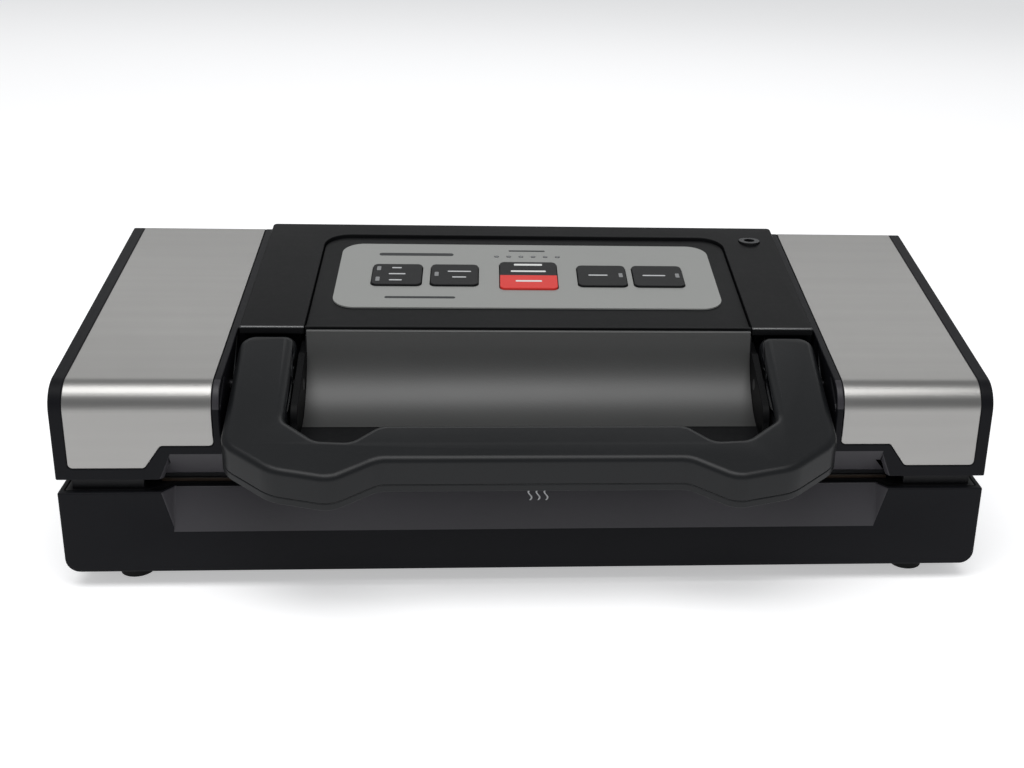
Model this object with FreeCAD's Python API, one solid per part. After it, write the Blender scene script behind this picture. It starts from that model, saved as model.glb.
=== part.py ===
"""Vacuum packing machine for kitchen bags: a low base, a hinged lid with the controls, and a locking handle.

Millimetres, +Z up, +X to the user's right, the user stands on the -Y side. While the pieces are built, y is
measured back from the front plane of the base; publish() then moves everything so that the origin is in the
middle of the whole machine's footprint, on the surface it stands on.
"""
import FreeCAD
import Part
import math
import os

V = FreeCAD.Vector

# overall sizes
WIDTH = 390.0
DEPTH = 163.0
FOOT_HEIGHT = 8.0
DECK_TOP = 45.0
LID_BOTTOM = 50.7       # the lid and everything in it follow this height
FRONT_TOP = LID_BOTTOM + 40.1   # height of the sloping top plane above the front plane
TOP_RISE = 0.1373       # rise of the top plane per millimetre of depth
WALL = 2.5
GAP = 0.4               # clearance between pieces that meet
SLIDE_GAP = 0.5         # clearance round a piece that moves
PIN_FIT = 0.05          # radial running clearance of a pin
PILOT_R = 1.42          # hole that a 2.8 mm screw cuts its thread in

# centre cover, control panel and cove
COVER_HALF = 126.0
COVER_RAISE = 3.5
COVER_FRONT = 48.0
COVER_REAR_INSET = 3.5
PANEL_HALF = 98.0
PANEL_REAR = 146.0
PANEL_RAISE = 2.0
PANEL_THICK = 2.5
PANEL_CORNER = 12.0
COVE_Y = 8.5
COVE_Z = LID_BOTTOM + 49.8
COVE_RADIUS = 33.5
COVE_HALF = 97.3
CHEEK_THICK = 2.5
OVERLAY_HALF = 89.0
OVERLAY_FRONT = 69.0
OVERLAY_REAR = 137.5
OVERLAY_THICK = 0.6
OVERLAY_CORNER = 10.0

# steel panels
STEEL_INNER = 130.5
STEEL_BORDER = 5.5
STEEL_THICK = 0.8
STEEL_LOW = LID_BOTTOM + 5.3
STEEL_NOTCH = LID_BOTTOM + 15.3
NOTCH_FROM = 152.0
NOTCH_TO = 159.0
BEND_RADIUS = 12.0

# bag slot across the front
SLOT_HALF = 149.0
SLOT_FLARE = 157.0
SLOT_DEPTH = 7.0
SLOT_LOW = 28.7
SLOT_HIGH = LID_BOTTOM + 10.8

# handle
HANDLE_TILT = 0.364     # rise of the handle's top plane per millimetre of depth
HANDLE_ORIGIN_Y = 38.0
HANDLE_ORIGIN_Z = LID_BOTTOM + 45.3
HANDLE_THICK = 14.5
HANDLE_SHELL = 3.0
HANDLE_ROUND = 3.6      # rounding of its upper edge
HANDLE_REACH = 36.3     # how far the handle stands out before the base's front plane
ARM_INNER = 100.9
ARM_OUTER = 125.0
ARM_REAR = 46.8
ARM_GAP = 2.3
PIVOT_Y = 28.0
PIVOT_Z = LID_BOTTOM + 31.3
PIVOT_R = 2.5
BOSS_R = 7.5
SWING_R = 26.0          # room the arm's rear end needs round the pivot

# lid hinge
HINGE_Y = 155.0
HINGE_Z = LID_BOTTOM - 3.2
HINGE_R = 2.0
KNUCKLE_R = 4.8
HINGE_X = 118.0
LUG_WIDTH = 11.0
EAR_WIDTH = 5.0
HINGE_GROOVE_R = 9.4
REAR_DROP = 7.2         # how far the base's rear edge lies below the hinge

# deck, from the front: sealing bar, gasket round the vacuum chamber, cutter rail, roll store
SEAL_Y = 15.0
SEAL_WIDTH = 8.0
SEAL_HALF = 155.0
SEAL_TOP = DECK_TOP + 1.2
STRIP_WIDTH = 3.0
STRIP_THICK = 0.3
TAPE_THICK = 0.3
GASKET_HALF = 161.0
GASKET_FRONT = 23.0
GASKET_REAR = 62.0
GASKET_WIDTH = 5.0
CHAMBER_DEPTH = 17.0
CHAMBER_MARGIN = 3.0
RAIL_Y = 69.5
RAIL_HALF = 158.0
ROLL_HALF = 154.0
ROLL_FRONT = 79.0
ROLL_REAR = 143.0
DECK_THICK = 3.0
CORNER_R = 6.0

# latches
LATCH_X = 174.0
LATCH_Y = 38.0
LATCH_Z = LID_BOTTOM + 15.3
LATCH_WIDTH = 5.0
STRIKE_Y = 29.0
STRIKE_Z = 39.5
STRIKE_R = 1.5

# keys: name, middle x, width, depth
KEY_Y = 101.7
KEYS = (
    ("food_key", -61.4, 23.0, 22.0),
    ("manual_seal_key", -34.6, 22.1, 22.0),
    ("vacuum_cancel_key", 0.2, 27.0, 28.5),
    ("pulse_key", 35.0, 23.0, 22.0),
    ("canister_key", 61.8, 23.8, 22.0),
)
KEY_CORNER = 2.5
KEY_PROUD = 0.9
KEY_TRAVEL = 0.6
LIGHT_Y = 123.8
LIGHT_PITCH = 5.9
LIGHT_COUNT = 6

# canister port
PORT_X = 112.5
PORT_Y = 142.3
PORT_OUTER = 5.2
PORT_BORE = 2.7
PORT_DEPTH = 9.0

# mains inlet
INLET_X = 172.0
INLET_Z = 25.0
INLET_HALF = 10.0
INLET_RADIUS = 5.0
INLET_DEPTH = 16.0

HALF = WIDTH / 2
BASE_FLOOR = FOOT_HEIGHT
COVER_REAR = DEPTH - COVER_REAR_INSET
SHIFT = V(0, -(DEPTH - HANDLE_REACH) / 2, 0)


# ---------------------------------------------------------------- helpers

def block(x0, x1, y0, y1, z0, z1):
    """Box between two corners."""
    return Part.makeBox(x1 - x0, y1 - y0, z1 - z0, V(x0, y0, z0))


def rod(radius, start, direction, length):
    """Cylinder from a point along a direction."""
    return Part.makeCylinder(radius, length, V(*start), V(*direction))


def mirrored(shape):
    """The same shape on the other side of the machine."""
    return shape.mirror(V(0, 0, 0), V(1, 0, 0))


def pair(shape):
    """A shape and its mirror image, as separate solids."""
    return Part.makeCompound([shape, mirrored(shape)])


def joined(shapes):
    """One solid from several."""
    return shapes[0].multiFuse(shapes[1:]).removeSplitter()


def rounded_wire(points, radii):
    """Closed polygon whose corner i is rounded with radii[i]."""
    count = len(points)
    ends = []
    for i in range(count):
        here = points[i]
        to_last = (points[i - 1] - here).normalize()
        to_next = (points[(i + 1) % count] - here).normalize()
        radius = radii[i]
        if radius <= 0:
            ends.append((here, None, here))
            continue
        half = to_last.getAngle(to_next) / 2
        reach = radius / math.tan(half)
        middle = (to_last + to_next).normalize()
        centre = here + middle * (radius / math.sin(half))
        ends.append((here + to_last * reach, centre - middle * radius, here + to_next * reach))
    edges = []
    for i in range(count):
        start, top, stop = ends[i]
        if top is not None:
            edges.append(Part.Arc(start, top, stop).toShape())
        following = ends[(i + 1) % count][0]
        if stop.distanceToPoint(following) > 1e-6:
            edges.append(Part.LineSegment(stop, following).toShape())
    return Part.Wire(edges)


def plan_prism(points, radii, z0, z1):
    """Rounded outline in x and y, standing from z0 to z1."""
    wire = rounded_wire([V(x, y, z0) for x, y in points], radii)
    return Part.Face(wire).extrude(V(0, 0, z1 - z0))


def side_prism(points, x0, x1, radii=None):
    """Rounded outline in y and z, running from x0 to x1."""
    wire = rounded_wire([V(x0, y, z) for y, z in points], radii or [0] * len(points))
    return Part.Face(wire).extrude(V(x1 - x0, 0, 0))


def rounded_block(x0, x1, y0, y1, z0, z1, radius):
    """Box with rounded upright corners."""
    corners = [(x0, y0), (x1, y0), (x1, y1), (x0, y1)]
    return plan_prism(corners, [radius] * 4, z0, z1)


def top_at(y, above=0.0):
    """Height of the sloping top plane at y."""
    return FRONT_TOP + TOP_RISE * y + above


def between_tops(x0, x1, y0, y1, low, high):
    """Sloping plate between two offsets from the top plane."""
    outline = [(y0, top_at(y0, low)), (y1, top_at(y1, low)), (y1, top_at(y1, high)), (y0, top_at(y0, high))]
    return side_prism(outline, x0, x1)


def sloping_prism(points, radii, low, high):
    """Rounded outline in x and y, between two offsets from the top plane."""
    column = plan_prism(points, radii, FRONT_TOP - 10, FRONT_TOP + 60)
    box = column.BoundBox
    return column.common(between_tops(box.XMin - 1, box.XMax + 1, box.YMin - 1, box.YMax + 1, low, high))


def sloping_pad(x0, x1, y0, y1, radius, low, high):
    """Rounded rectangle between two offsets from the top plane."""
    corners = [(x0, y0), (x1, y0), (x1, y1), (x0, y1)]
    return sloping_prism(corners, [radius] * 4, low, high)


def screw(x, y, z_head, length, head_r=3.0, head_h=2.0, shank_r=1.4, up=1):
    """Pan head screw with a cross slot, its head at z_head and its shank going up or down."""
    head = rod(head_r, (x, y, z_head), (0, 0, up), head_h)
    shank = rod(shank_r, (x, y, z_head + up * head_h), (0, 0, up), length)
    cross = block(x - 1.8, x + 1.8, y - 0.4, y + 0.4, z_head - 0.8, z_head + 0.8)
    cross = cross.fuse(block(x - 0.4, x + 0.4, y - 1.8, y + 1.8, z_head - 0.8, z_head + 0.8))
    return head.fuse(shank).cut(cross)


def publish(name, shape):
    """Write one sub-part, in the machine's own frame."""
    placed = shape.copy()
    placed.translate(SHIFT)
    placed.exportStep("parts/" + name + ".step")


# ---------------------------------------------------------------- base

SCREW_POINTS = [(x, y) for x in (-(HALF - 22), HALF - 22) for y in (RAIL_Y, HINGE_Y - 21)] + [(0.0, RAIL_Y)]
FOOT_POINTS = [(x, y) for x in (-(HALF - 25), HALF - 25) for y in (17.0, DEPTH - 16)]
BOSS_LOW = 14.0


def base_recess(back):
    """Recess in the base's front: it slopes back from its low edge to the top, with flared ends."""
    low = SLOT_LOW
    high = DECK_TOP + 2
    slope = [(-5, low), (back, low), (SLOT_DEPTH + back, high), (-5, high)]
    middle = side_prism(slope, -SLOT_HALF, SLOT_HALF)
    reach = SLOT_DEPTH + back
    flare = SLOT_FLARE - SLOT_HALF
    corner_low = V(SLOT_HALF, back, low)
    corner_high = V(SLOT_HALF, reach, high)
    out_high = V(SLOT_HALF + flare * (1 + back / SLOT_DEPTH), -5, high)
    near_low = V(SLOT_HALF, -5, low)
    near_high = V(SLOT_HALF, -5, high)
    faces = [
        Part.Face(Part.makePolygon([near_low, corner_low, corner_high, near_high, near_low])),
        Part.Face(Part.makePolygon([near_low, near_high, out_high, near_low])),
        Part.Face(Part.makePolygon([near_high, corner_high, out_high, near_high])),
        Part.Face(Part.makePolygon([near_low, out_high, corner_low, near_low])),
        Part.Face(Part.makePolygon([corner_low, out_high, corner_high, corner_low])),
    ]
    end = Part.Solid(Part.Shell(faces))
    return Part.makeCompound([middle, end, mirrored(end)])


def base_outer(inset):
    """Base envelope moved in by inset, with rounded lower edges."""
    radius = CORNER_R - inset
    low = BASE_FLOOR + inset
    high = DECK_TOP
    front_view = [V(x, inset, z) for x, z in (
        (-(HALF - inset), high), (-(HALF - inset), low), (HALF - inset, low), (HALF - inset, high))]
    wire = rounded_wire(front_view, [0, radius, radius, 0])
    return Part.Face(wire).extrude(V(0, DEPTH - 2 * inset, 0))


def hinge_groove(radius=HINGE_GROOVE_R):
    """Room for the lid's rear edge to turn down into the base."""
    return rod(radius, (-HALF - 1, HINGE_Y, HINGE_Z), (1, 0, 0), WIDTH + 2)


def make_base_tray():
    """Lower housing, open at the top."""
    tray = base_outer(0).cut(base_recess(0))
    hollow = base_outer(WALL).cut(block(-HALF, HALF, -1, DEPTH + 1, DECK_TOP, DECK_TOP + 9))
    wall_block = base_recess(0).fuse(base_recess(WALL))
    keep = hollow.cut(block(-HALF, HALF, 0, WALL + 6, SLOT_LOW - 3, DECK_TOP + 1).common(wall_block))
    tray = tray.cut(keep)
    pads = [rod(6.0, (x, y, BASE_FLOOR), (0, 0, 1), BOSS_LOW - BASE_FLOOR) for x, y in SCREW_POINTS]
    tray = joined([tray] + pads)
    tray = tray.cut(hinge_groove())
    rear_edge = min(HINGE_Z - REAR_DROP, DECK_TOP)
    tray = tray.cut(block(-HALF - 1, HALF + 1, DEPTH - 3.0, DEPTH + 1, rear_edge, DECK_TOP + 1))
    for x, y in SCREW_POINTS:
        tray = tray.cut(rod(3.6, (x, y, BASE_FLOOR - 1), (0, 0, 1), 4.0))
        tray = tray.cut(rod(1.8, (x, y, BASE_FLOOR), (0, 0, 1), 10))
    for x, y in FOOT_POINTS:
        tray = tray.cut(rod(3.1, (x, y, BASE_FLOOR - 1), (0, 0, 1), WALL + 2))
    tray = tray.cut(inlet_body(GAP / 4, True))
    vents = [block(x - 1.2, x + 1.2, 60, 100, BASE_FLOOR - 1, BASE_FLOOR + WALL + 1)
             for x in (-150, -144, -138, -132)]
    return tray.cut(Part.makeCompound(vents))


def deck_outline(gap):
    """Plan of the deck inside the tray's walls; its front steps back behind the bag slot."""
    edge = WALL + gap
    side = HALF - edge
    step = SLOT_FLARE + 4
    slot = SLOT_DEPTH + edge
    rear = HINGE_Y - HINGE_GROOVE_R - 1
    points = [(-side, edge), (-step, edge), (-SLOT_HALF, slot), (SLOT_HALF, slot), (step, edge), (side, edge),
              (side, rear), (-side, rear)]
    return points


def gasket_ring(grow, z0, z1):
    """Rounded ring round the chamber, wider by grow on each side."""
    half = GASKET_HALF + grow
    outer = rounded_block(-half, half, GASKET_FRONT - grow, GASKET_REAR + grow, z0, z1, CORNER_R + grow)
    inset = GASKET_WIDTH + grow
    half = GASKET_HALF - inset
    inner = rounded_block(-half, half, GASKET_FRONT + inset, GASKET_REAR - inset, z0 - 1, z1 + 1,
                          CORNER_R - inset / 2)
    return outer.cut(inner)


CHAMBER = (GASKET_HALF - GASKET_WIDTH - CHAMBER_MARGIN, GASKET_FRONT + GASKET_WIDTH + CHAMBER_MARGIN,
           GASKET_REAR - GASKET_WIDTH - CHAMBER_MARGIN)
ROLL_FLOOR = 18.0
RIM_INSET = 5.0
RIM_RISE = 4.6


def make_base_deck():
    """Upper face of the base, with the vacuum chamber and the bosses in one moulding."""
    low = DECK_TOP - DECK_THICK
    plate = plan_prism(deck_outline(GAP / 2), [0] * 8, low, DECK_TOP)
    half, front, rear = CHAMBER
    chamber = rounded_block(-half - WALL, half + WALL, front - WALL, rear + WALL,
                            DECK_TOP - CHAMBER_DEPTH - WALL, low, CORNER_R)
    under_gasket = gasket_ring(WALL, low - 3.0, low)
    bosses = [rod(4.0, (x, y, BOSS_LOW), (0, 0, 1), low - BOSS_LOW + 1)
              for x, y in SCREW_POINTS]
    roll_side = ROLL_HALF + WALL + GAP / 4
    side = HALF - RIM_INSET
    high = DECK_TOP + RIM_RISE
    rim = block(side - WALL, side, RIM_INSET, HINGE_Y - 16, low, high)
    rim = rim.fuse(block(SLOT_FLARE + 4, side, RIM_INSET, RIM_INSET + WALL, low, high))
    deck = joined([plate, chamber, under_gasket, rim, mirrored(rim)] + bosses)
    cuts = [
        rounded_block(-half, half, front, rear, DECK_TOP - CHAMBER_DEPTH, DECK_TOP + 1, CORNER_R - 1),
        block(-roll_side, roll_side, ROLL_FRONT - WALL - GAP / 4, DEPTH, low - 1, DECK_TOP + 1),
        gasket_ring(GAP / 4, DECK_TOP - 3.0, DECK_TOP + 1),
        block(-SEAL_HALF - GAP / 4, SEAL_HALF + GAP / 4, SEAL_Y - SEAL_WIDTH / 2 - GAP / 4,
              SEAL_Y + SEAL_WIDTH / 2 + GAP / 4, low - 1, DECK_TOP + 1),
        latch_window(0, LID_BOTTOM),
        mirrored(latch_window(0, LID_BOTTOM)),
    ]
    cuts += [rod(PILOT_R, (x, y, BOSS_LOW - 1), (0, 0, 1), 12) for x, y in SCREW_POINTS]
    cuts += [rod(PILOT_R, (x, RAIL_Y, low - 1), (0, 0, 1), 9) for x in (-RAIL_HALF + 6, RAIL_HALF - 6)]
    deck = deck.cut(Part.makeCompound(cuts))
    return deck.cut(switch_hole())


def make_roll_tray():
    """Trough for the bag roll, set into the deck's opening."""
    front = ROLL_FRONT - WALL
    rear = ROLL_REAR + WALL
    under = ROLL_FLOOR - WALL
    outer = [(front, DECK_TOP), (front, ROLL_FLOOR + 8), (ROLL_FRONT + 8, under), (ROLL_REAR - 12, under),
             (rear, ROLL_FLOOR + 12), (rear, DECK_TOP)]
    half = ROLL_HALF + WALL
    tray = side_prism(outer, -half, half, [0, 12, 12, 18, 18, 0])
    open_top = DECK_TOP + 1
    inner = [(ROLL_FRONT, open_top), (ROLL_FRONT, ROLL_FLOOR + 9), (ROLL_FRONT + 9, ROLL_FLOOR),
             (ROLL_REAR - 13, ROLL_FLOOR), (ROLL_REAR, ROLL_FLOOR + 13), (ROLL_REAR, open_top)]
    return tray.cut(side_prism(inner, -ROLL_HALF, ROLL_HALF, [0, 10, 10, 16, 16, 0]))


def latch_window(z0, z1):
    """Opening through which a latch hook reaches its strike."""
    half = LATCH_WIDTH / 2 + 2.5
    return block(LATCH_X - half, LATCH_X + half, STRIKE_Y - 8, LATCH_Y + 11, z0, z1)


def make_latch_strikes():
    """Steel bars under the deck that the hooks catch, each held by two ears."""
    half = LATCH_WIDTH / 2 + 2.5
    bar = rod(STRIKE_R, (LATCH_X - half - 3, STRIKE_Y, STRIKE_Z), (1, 0, 0), 2 * half + 6)
    ears = [block(x, x + 2, STRIKE_Y - 4, STRIKE_Y + 4, STRIKE_Z - 4, DECK_TOP - DECK_THICK)
            for x in (LATCH_X - half - 3, LATCH_X + half + 1)]
    return pair(joined([bar] + ears))


def make_feet():
    """Rubber feet, each with a stud pressed into the base."""
    feet = []
    for x, y in FOOT_POINTS:
        foot = Part.makeCone(7.0, 8.0, FOOT_HEIGHT, V(x, y, 0))
        feet.append(foot.fuse(rod(3.0, (x, y, FOOT_HEIGHT), (0, 0, 1), WALL + 1.5)))
    return Part.makeCompound(feet)


def make_base_screws():
    """Screws that hold the base halves together from below."""
    return Part.makeCompound([screw(x, y, BASE_FLOOR + 1.0, 12.0) for x, y in SCREW_POINTS])


def make_sealing_bar():
    """Heat resistant carrier for the sealing element, standing in the deck."""
    half = SEAL_WIDTH / 2
    low = DECK_TOP - DECK_THICK - 6
    body = block(-SEAL_HALF, SEAL_HALF, SEAL_Y - half, SEAL_Y + half, low, SEAL_TOP)
    side = STRIP_WIDTH / 2 + 0.1
    reach = SEAL_HALF + 1
    groove = block(-reach, reach, SEAL_Y - side, SEAL_Y + side, SEAL_TOP - STRIP_THICK, SEAL_TOP + 1)
    return body.cut(groove)


def make_heating_element():
    """Flat resistance strip in the sealing bar's groove."""
    half = SEAL_HALF - 2
    side = STRIP_WIDTH / 2
    return block(-half, half, SEAL_Y - side, SEAL_Y + side, SEAL_TOP - STRIP_THICK, SEAL_TOP)


def make_seal_tape():
    """Non-stick tape over the sealing bar."""
    half = SEAL_WIDTH / 2 - 0.2
    reach = SEAL_HALF - 0.5
    return block(-reach, reach, SEAL_Y - half, SEAL_Y + half, SEAL_TOP, SEAL_TOP + TAPE_THICK)


def make_lower_gasket():
    """Foam ring round the chamber, in its groove."""
    return gasket_ring(0, DECK_TOP - 3.0, DECK_TOP + 2.2)


def make_drip_tray():
    """Loose tray on the chamber's floor that catches liquid."""
    half, front, rear = CHAMBER
    low = DECK_TOP - CHAMBER_DEPTH
    gap = 1.0
    outer = rounded_block(-half + gap, half - gap, front + gap, rear - gap, low, low + 9, CORNER_R - 2)
    inner = rounded_block(-half + gap + 1.5, half - gap - 1.5, front + gap + 1.5, rear - gap - 1.5,
                          low + 1.5, low + 10, CORNER_R - 3)
    return outer.cut(inner)


def inlet_body(grow, cutter=False):
    """Outline of the mains inlet, along y."""
    half = INLET_HALF + grow
    low = INLET_Z - INLET_RADIUS - grow
    high = INLET_Z + INLET_RADIUS + grow
    radius = INLET_RADIUS + grow
    start = DEPTH - INLET_DEPTH - 2
    length = INLET_DEPTH + (4 if cutter else 2)
    corners = [(-half, low), (half, low), (half, high), (-half, high)]
    wire = rounded_wire([V(INLET_X + x, start, z) for x, z in corners], [radius - 0.01] * 4)
    return Part.Face(wire).extrude(V(0, length, 0))


def make_mains_inlet():
    """Two-pole appliance inlet in the rear wall; no lead is fitted."""
    body = inlet_body(0)
    well = INLET_RADIUS - 1.2
    corners = [(-INLET_HALF + 1.2, INLET_Z - well), (INLET_HALF - 1.2, INLET_Z - well),
               (INLET_HALF - 1.2, INLET_Z + well), (-INLET_HALF + 1.2, INLET_Z + well)]
    wire = rounded_wire([V(INLET_X + x, DEPTH - INLET_DEPTH, z) for x, z in corners], [well - 0.01] * 4)
    return body.cut(Part.Face(wire).extrude(V(0, INLET_DEPTH + 1, 0)))


def make_inlet_pins():
    """Contact pins of the inlet."""
    return pair_at(INLET_X, 4.3, lambda x: rod(1.2, (x, DEPTH - INLET_DEPTH, INLET_Z), (0, 1, 0), 11.0))


def pair_at(x, offset, build):
    """Two copies of a piece either side of x."""
    return Part.makeCompound([build(x - offset), build(x + offset)])


BOARD_Z = BASE_FLOOR + WALL + 2.0
SUPPLY_X = (HALF - 33, HALF - 5)


def make_power_board():
    """Supply board on the tray's floor, on four posts."""
    x0, x1 = SUPPLY_X
    board = block(x0, x1, 80, 126, BOARD_Z, BOARD_Z + 1.6)
    posts = [rod(2.0, (x, y, BASE_FLOOR + WALL), (0, 0, 1), BOARD_Z - BASE_FLOOR - WALL)
             for x in (x0 + 4, x1 - 4) for y in (84, 122)]
    return joined([board] + posts)


def make_transformer():
    """Supply transformer: laminated core round a wound bobbin."""
    x0, x1 = SUPPLY_X
    low = BOARD_Z + 1.6
    core = block(x0 + 2, x1 - 2, 88, 116, low, low + 22)
    window = block(x0 + 1, x1 - 1, 93, 111, low + 5, low + 17)
    coil = block(x0 + 3, x1 - 3, 93, 111, low + 5, low + 17)
    return core.cut(window).fuse(coil)


SWITCH_X = -174.0
SWITCH_Y = 96.0


def switch_hole():
    """Hole in the deck for the lid switch's plunger."""
    return rod(2.6, (SWITCH_X, SWITCH_Y, DECK_TOP - 6), (0, 0, 1), 8)


def make_lid_switch():
    """Switch under the deck that tells that the lid is shut."""
    top = DECK_TOP - DECK_THICK
    body = block(SWITCH_X - 10, SWITCH_X + 10, SWITCH_Y - 3.2, SWITCH_Y + 3.2, top - 11, top)
    return body.fuse(rod(2.0, (SWITCH_X, SWITCH_Y, DECK_TOP - 4), (0, 0, 1), 9.6))


def make_hinge_brackets():
    """Two forks that carry the hinge pins, standing in the groove."""
    return pair(hinge_fork(HINGE_X))


def hinge_fork(x):
    """Two ears on a foot, screwed to the tray's floor pillar."""
    inner = LUG_WIDTH / 2 + SLIDE_GAP
    ears = []
    for side in (-1, 1):
        x0 = x + (inner if side > 0 else -inner - EAR_WIDTH)
        ears.append(rod(KNUCKLE_R, (x0, HINGE_Y, HINGE_Z), (1, 0, 0), EAR_WIDTH))
        ears.append(block(x0, x0 + EAR_WIDTH, HINGE_Y - KNUCKLE_R, HINGE_Y + KNUCKLE_R,
                          FORK_FLOOR, HINGE_Z))
    width = inner + EAR_WIDTH
    front = HINGE_Y - KNUCKLE_R
    foot = block(x - width, x + width, front, HINGE_Y + KNUCKLE_R, BASE_FLOOR + WALL, FORK_FLOOR + 2)
    return joined(ears + [foot]).cut(rod(HINGE_R + 0.02, (x - 30, HINGE_Y, HINGE_Z), (1, 0, 0), 60))


FORK_FLOOR = HINGE_Z - HINGE_GROOVE_R


def make_hinge_pins():
    """Steel pins through the forks and the lid's lugs."""
    half = LUG_WIDTH / 2 + SLIDE_GAP + EAR_WIDTH
    return pair(rod(HINGE_R, (HINGE_X - half, HINGE_Y, HINGE_Z), (1, 0, 0), 2 * half))


# ---------------------------------------------------------------- bag cutter on the deck

FILM_GAP = 1.2          # room for the bag film under the rail
RAIL_HIGH = DECK_TOP + 5.2


def make_cutter_rail():
    """Fixed guide rail across the deck: the bag film passes under it and the slider runs in its groove."""
    bar = block(-RAIL_HALF + 10, RAIL_HALF - 10, RAIL_Y - 4, RAIL_Y + 4, DECK_TOP + FILM_GAP, RAIL_HIGH)
    groove = block(-RAIL_HALF + 16, RAIL_HALF - 16, RAIL_Y - 1.2, RAIL_Y + 1.2, DECK_TOP - 1, RAIL_HIGH + 1)
    posts = [block(min(x, x + side * 12), max(x, x + side * 12), RAIL_Y - 4, RAIL_Y + 4, DECK_TOP, RAIL_HIGH)
             for side, x in ((-1, -RAIL_HALF + 10), (1, RAIL_HALF - 10))]
    holes = [rod(1.6, (x, RAIL_Y, DECK_TOP - 1), (0, 0, 1), 9) for x in (-RAIL_HALF + 6, RAIL_HALF - 6)]
    return joined([bar.cut(groove)] + posts).cut(Part.makeCompound(holes))


def make_rail_screws():
    """Two screws that hold the rail to the deck."""
    return Part.makeCompound([screw(x, RAIL_Y, RAIL_HIGH + 1.2, 8.0, 2.6, 1.2, 1.4, -1)
                              for x in (-RAIL_HALF + 6, RAIL_HALF - 6)])


SLIDER_X = -RAIL_HALF + 34


def make_cutter_slider():
    """Finger knob that runs along the rail's groove."""
    top = RAIL_HIGH
    knob = rounded_block(SLIDER_X - 9, SLIDER_X + 9, RAIL_Y - 3.8, RAIL_Y + 3.8, top + 0.3, top + 2.9, 3.0)
    neck = block(SLIDER_X - 6, SLIDER_X + 6, RAIL_Y - 0.8, RAIL_Y + 0.8, DECK_TOP + 2.4, top + 0.5)
    return joined([knob, neck])


def make_cutter_blade():
    """Small blade under the slider, inside the groove."""
    x = SLIDER_X
    outline = [V(x - 5, RAIL_Y - 0.2, DECK_TOP + 2.4), V(x + 5, RAIL_Y - 0.2, DECK_TOP + 2.4),
               V(x, RAIL_Y - 0.2, DECK_TOP + 0.4), V(x - 5, RAIL_Y - 0.2, DECK_TOP + 2.4)]
    return Part.Face(Part.makePolygon(outline)).extrude(V(0, 0.4, 0))


# ---------------------------------------------------------------- lid housing

def lid_outline(inset, bottom):
    """Side view of the lid moved in by inset: upright front, rounded bend, sloping top, upright rear."""
    front = inset
    rear = DEPTH - inset
    drop = inset * math.sqrt(1 + TOP_RISE ** 2)
    points = [(front, bottom), (front, top_at(front, -drop)), (rear, top_at(rear, -drop)), (rear, bottom)]
    return points, [0, BEND_RADIUS - inset, 3.0 - min(inset, 2.6), 0]


def lid_solid(inset, x0, x1, bottom=LID_BOTTOM):
    """Slice of the lid's side view from x0 to x1."""
    points, radii = lid_outline(inset, bottom)
    return side_prism(points, x0, x1, radii)


def lid_slot_cut():
    """Upper half of the bag slot: the lid's middle front slopes in to its lower edge."""
    high = SLOT_HIGH
    middle = side_prism([(-5, LID_BOTTOM - 1), (SLOT_DEPTH, LID_BOTTOM - 1), (SLOT_DEPTH, LID_BOTTOM),
                         (0, high), (-5, high)], -SLOT_HALF, SLOT_HALF)
    near_high = V(SLOT_HALF, -5, high)
    near_low = V(SLOT_HALF, -5, LID_BOTTOM - 1)
    front_high = V(SLOT_HALF, 0, high)
    deep_low = V(SLOT_HALF, SLOT_DEPTH, LID_BOTTOM - 1)
    out_low = V(SLOT_FLARE, -5, LID_BOTTOM - 1)
    faces = [
        Part.Face(Part.makePolygon([near_low, near_high, front_high, deep_low, near_low])),
        Part.Face(Part.makePolygon([near_low, out_low, near_high, near_low])),
        Part.Face(Part.makePolygon([near_low, deep_low, out_low, near_low])),
        Part.Face(Part.makePolygon([near_high, out_low, front_high, near_high])),
        Part.Face(Part.makePolygon([front_high, out_low, deep_low, front_high])),
    ]
    end = Part.Solid(Part.Shell(faces))
    return Part.makeCompound([middle, end, mirrored(end)])


SLOT_INNER = COVE_HALF + CHEEK_THICK
SLOT_OUTER = ARM_OUTER + ARM_GAP
POCKET_REAR = PIVOT_Y + SWING_R
POCKET_FLOOR = LID_BOTTOM + 9.3


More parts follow.
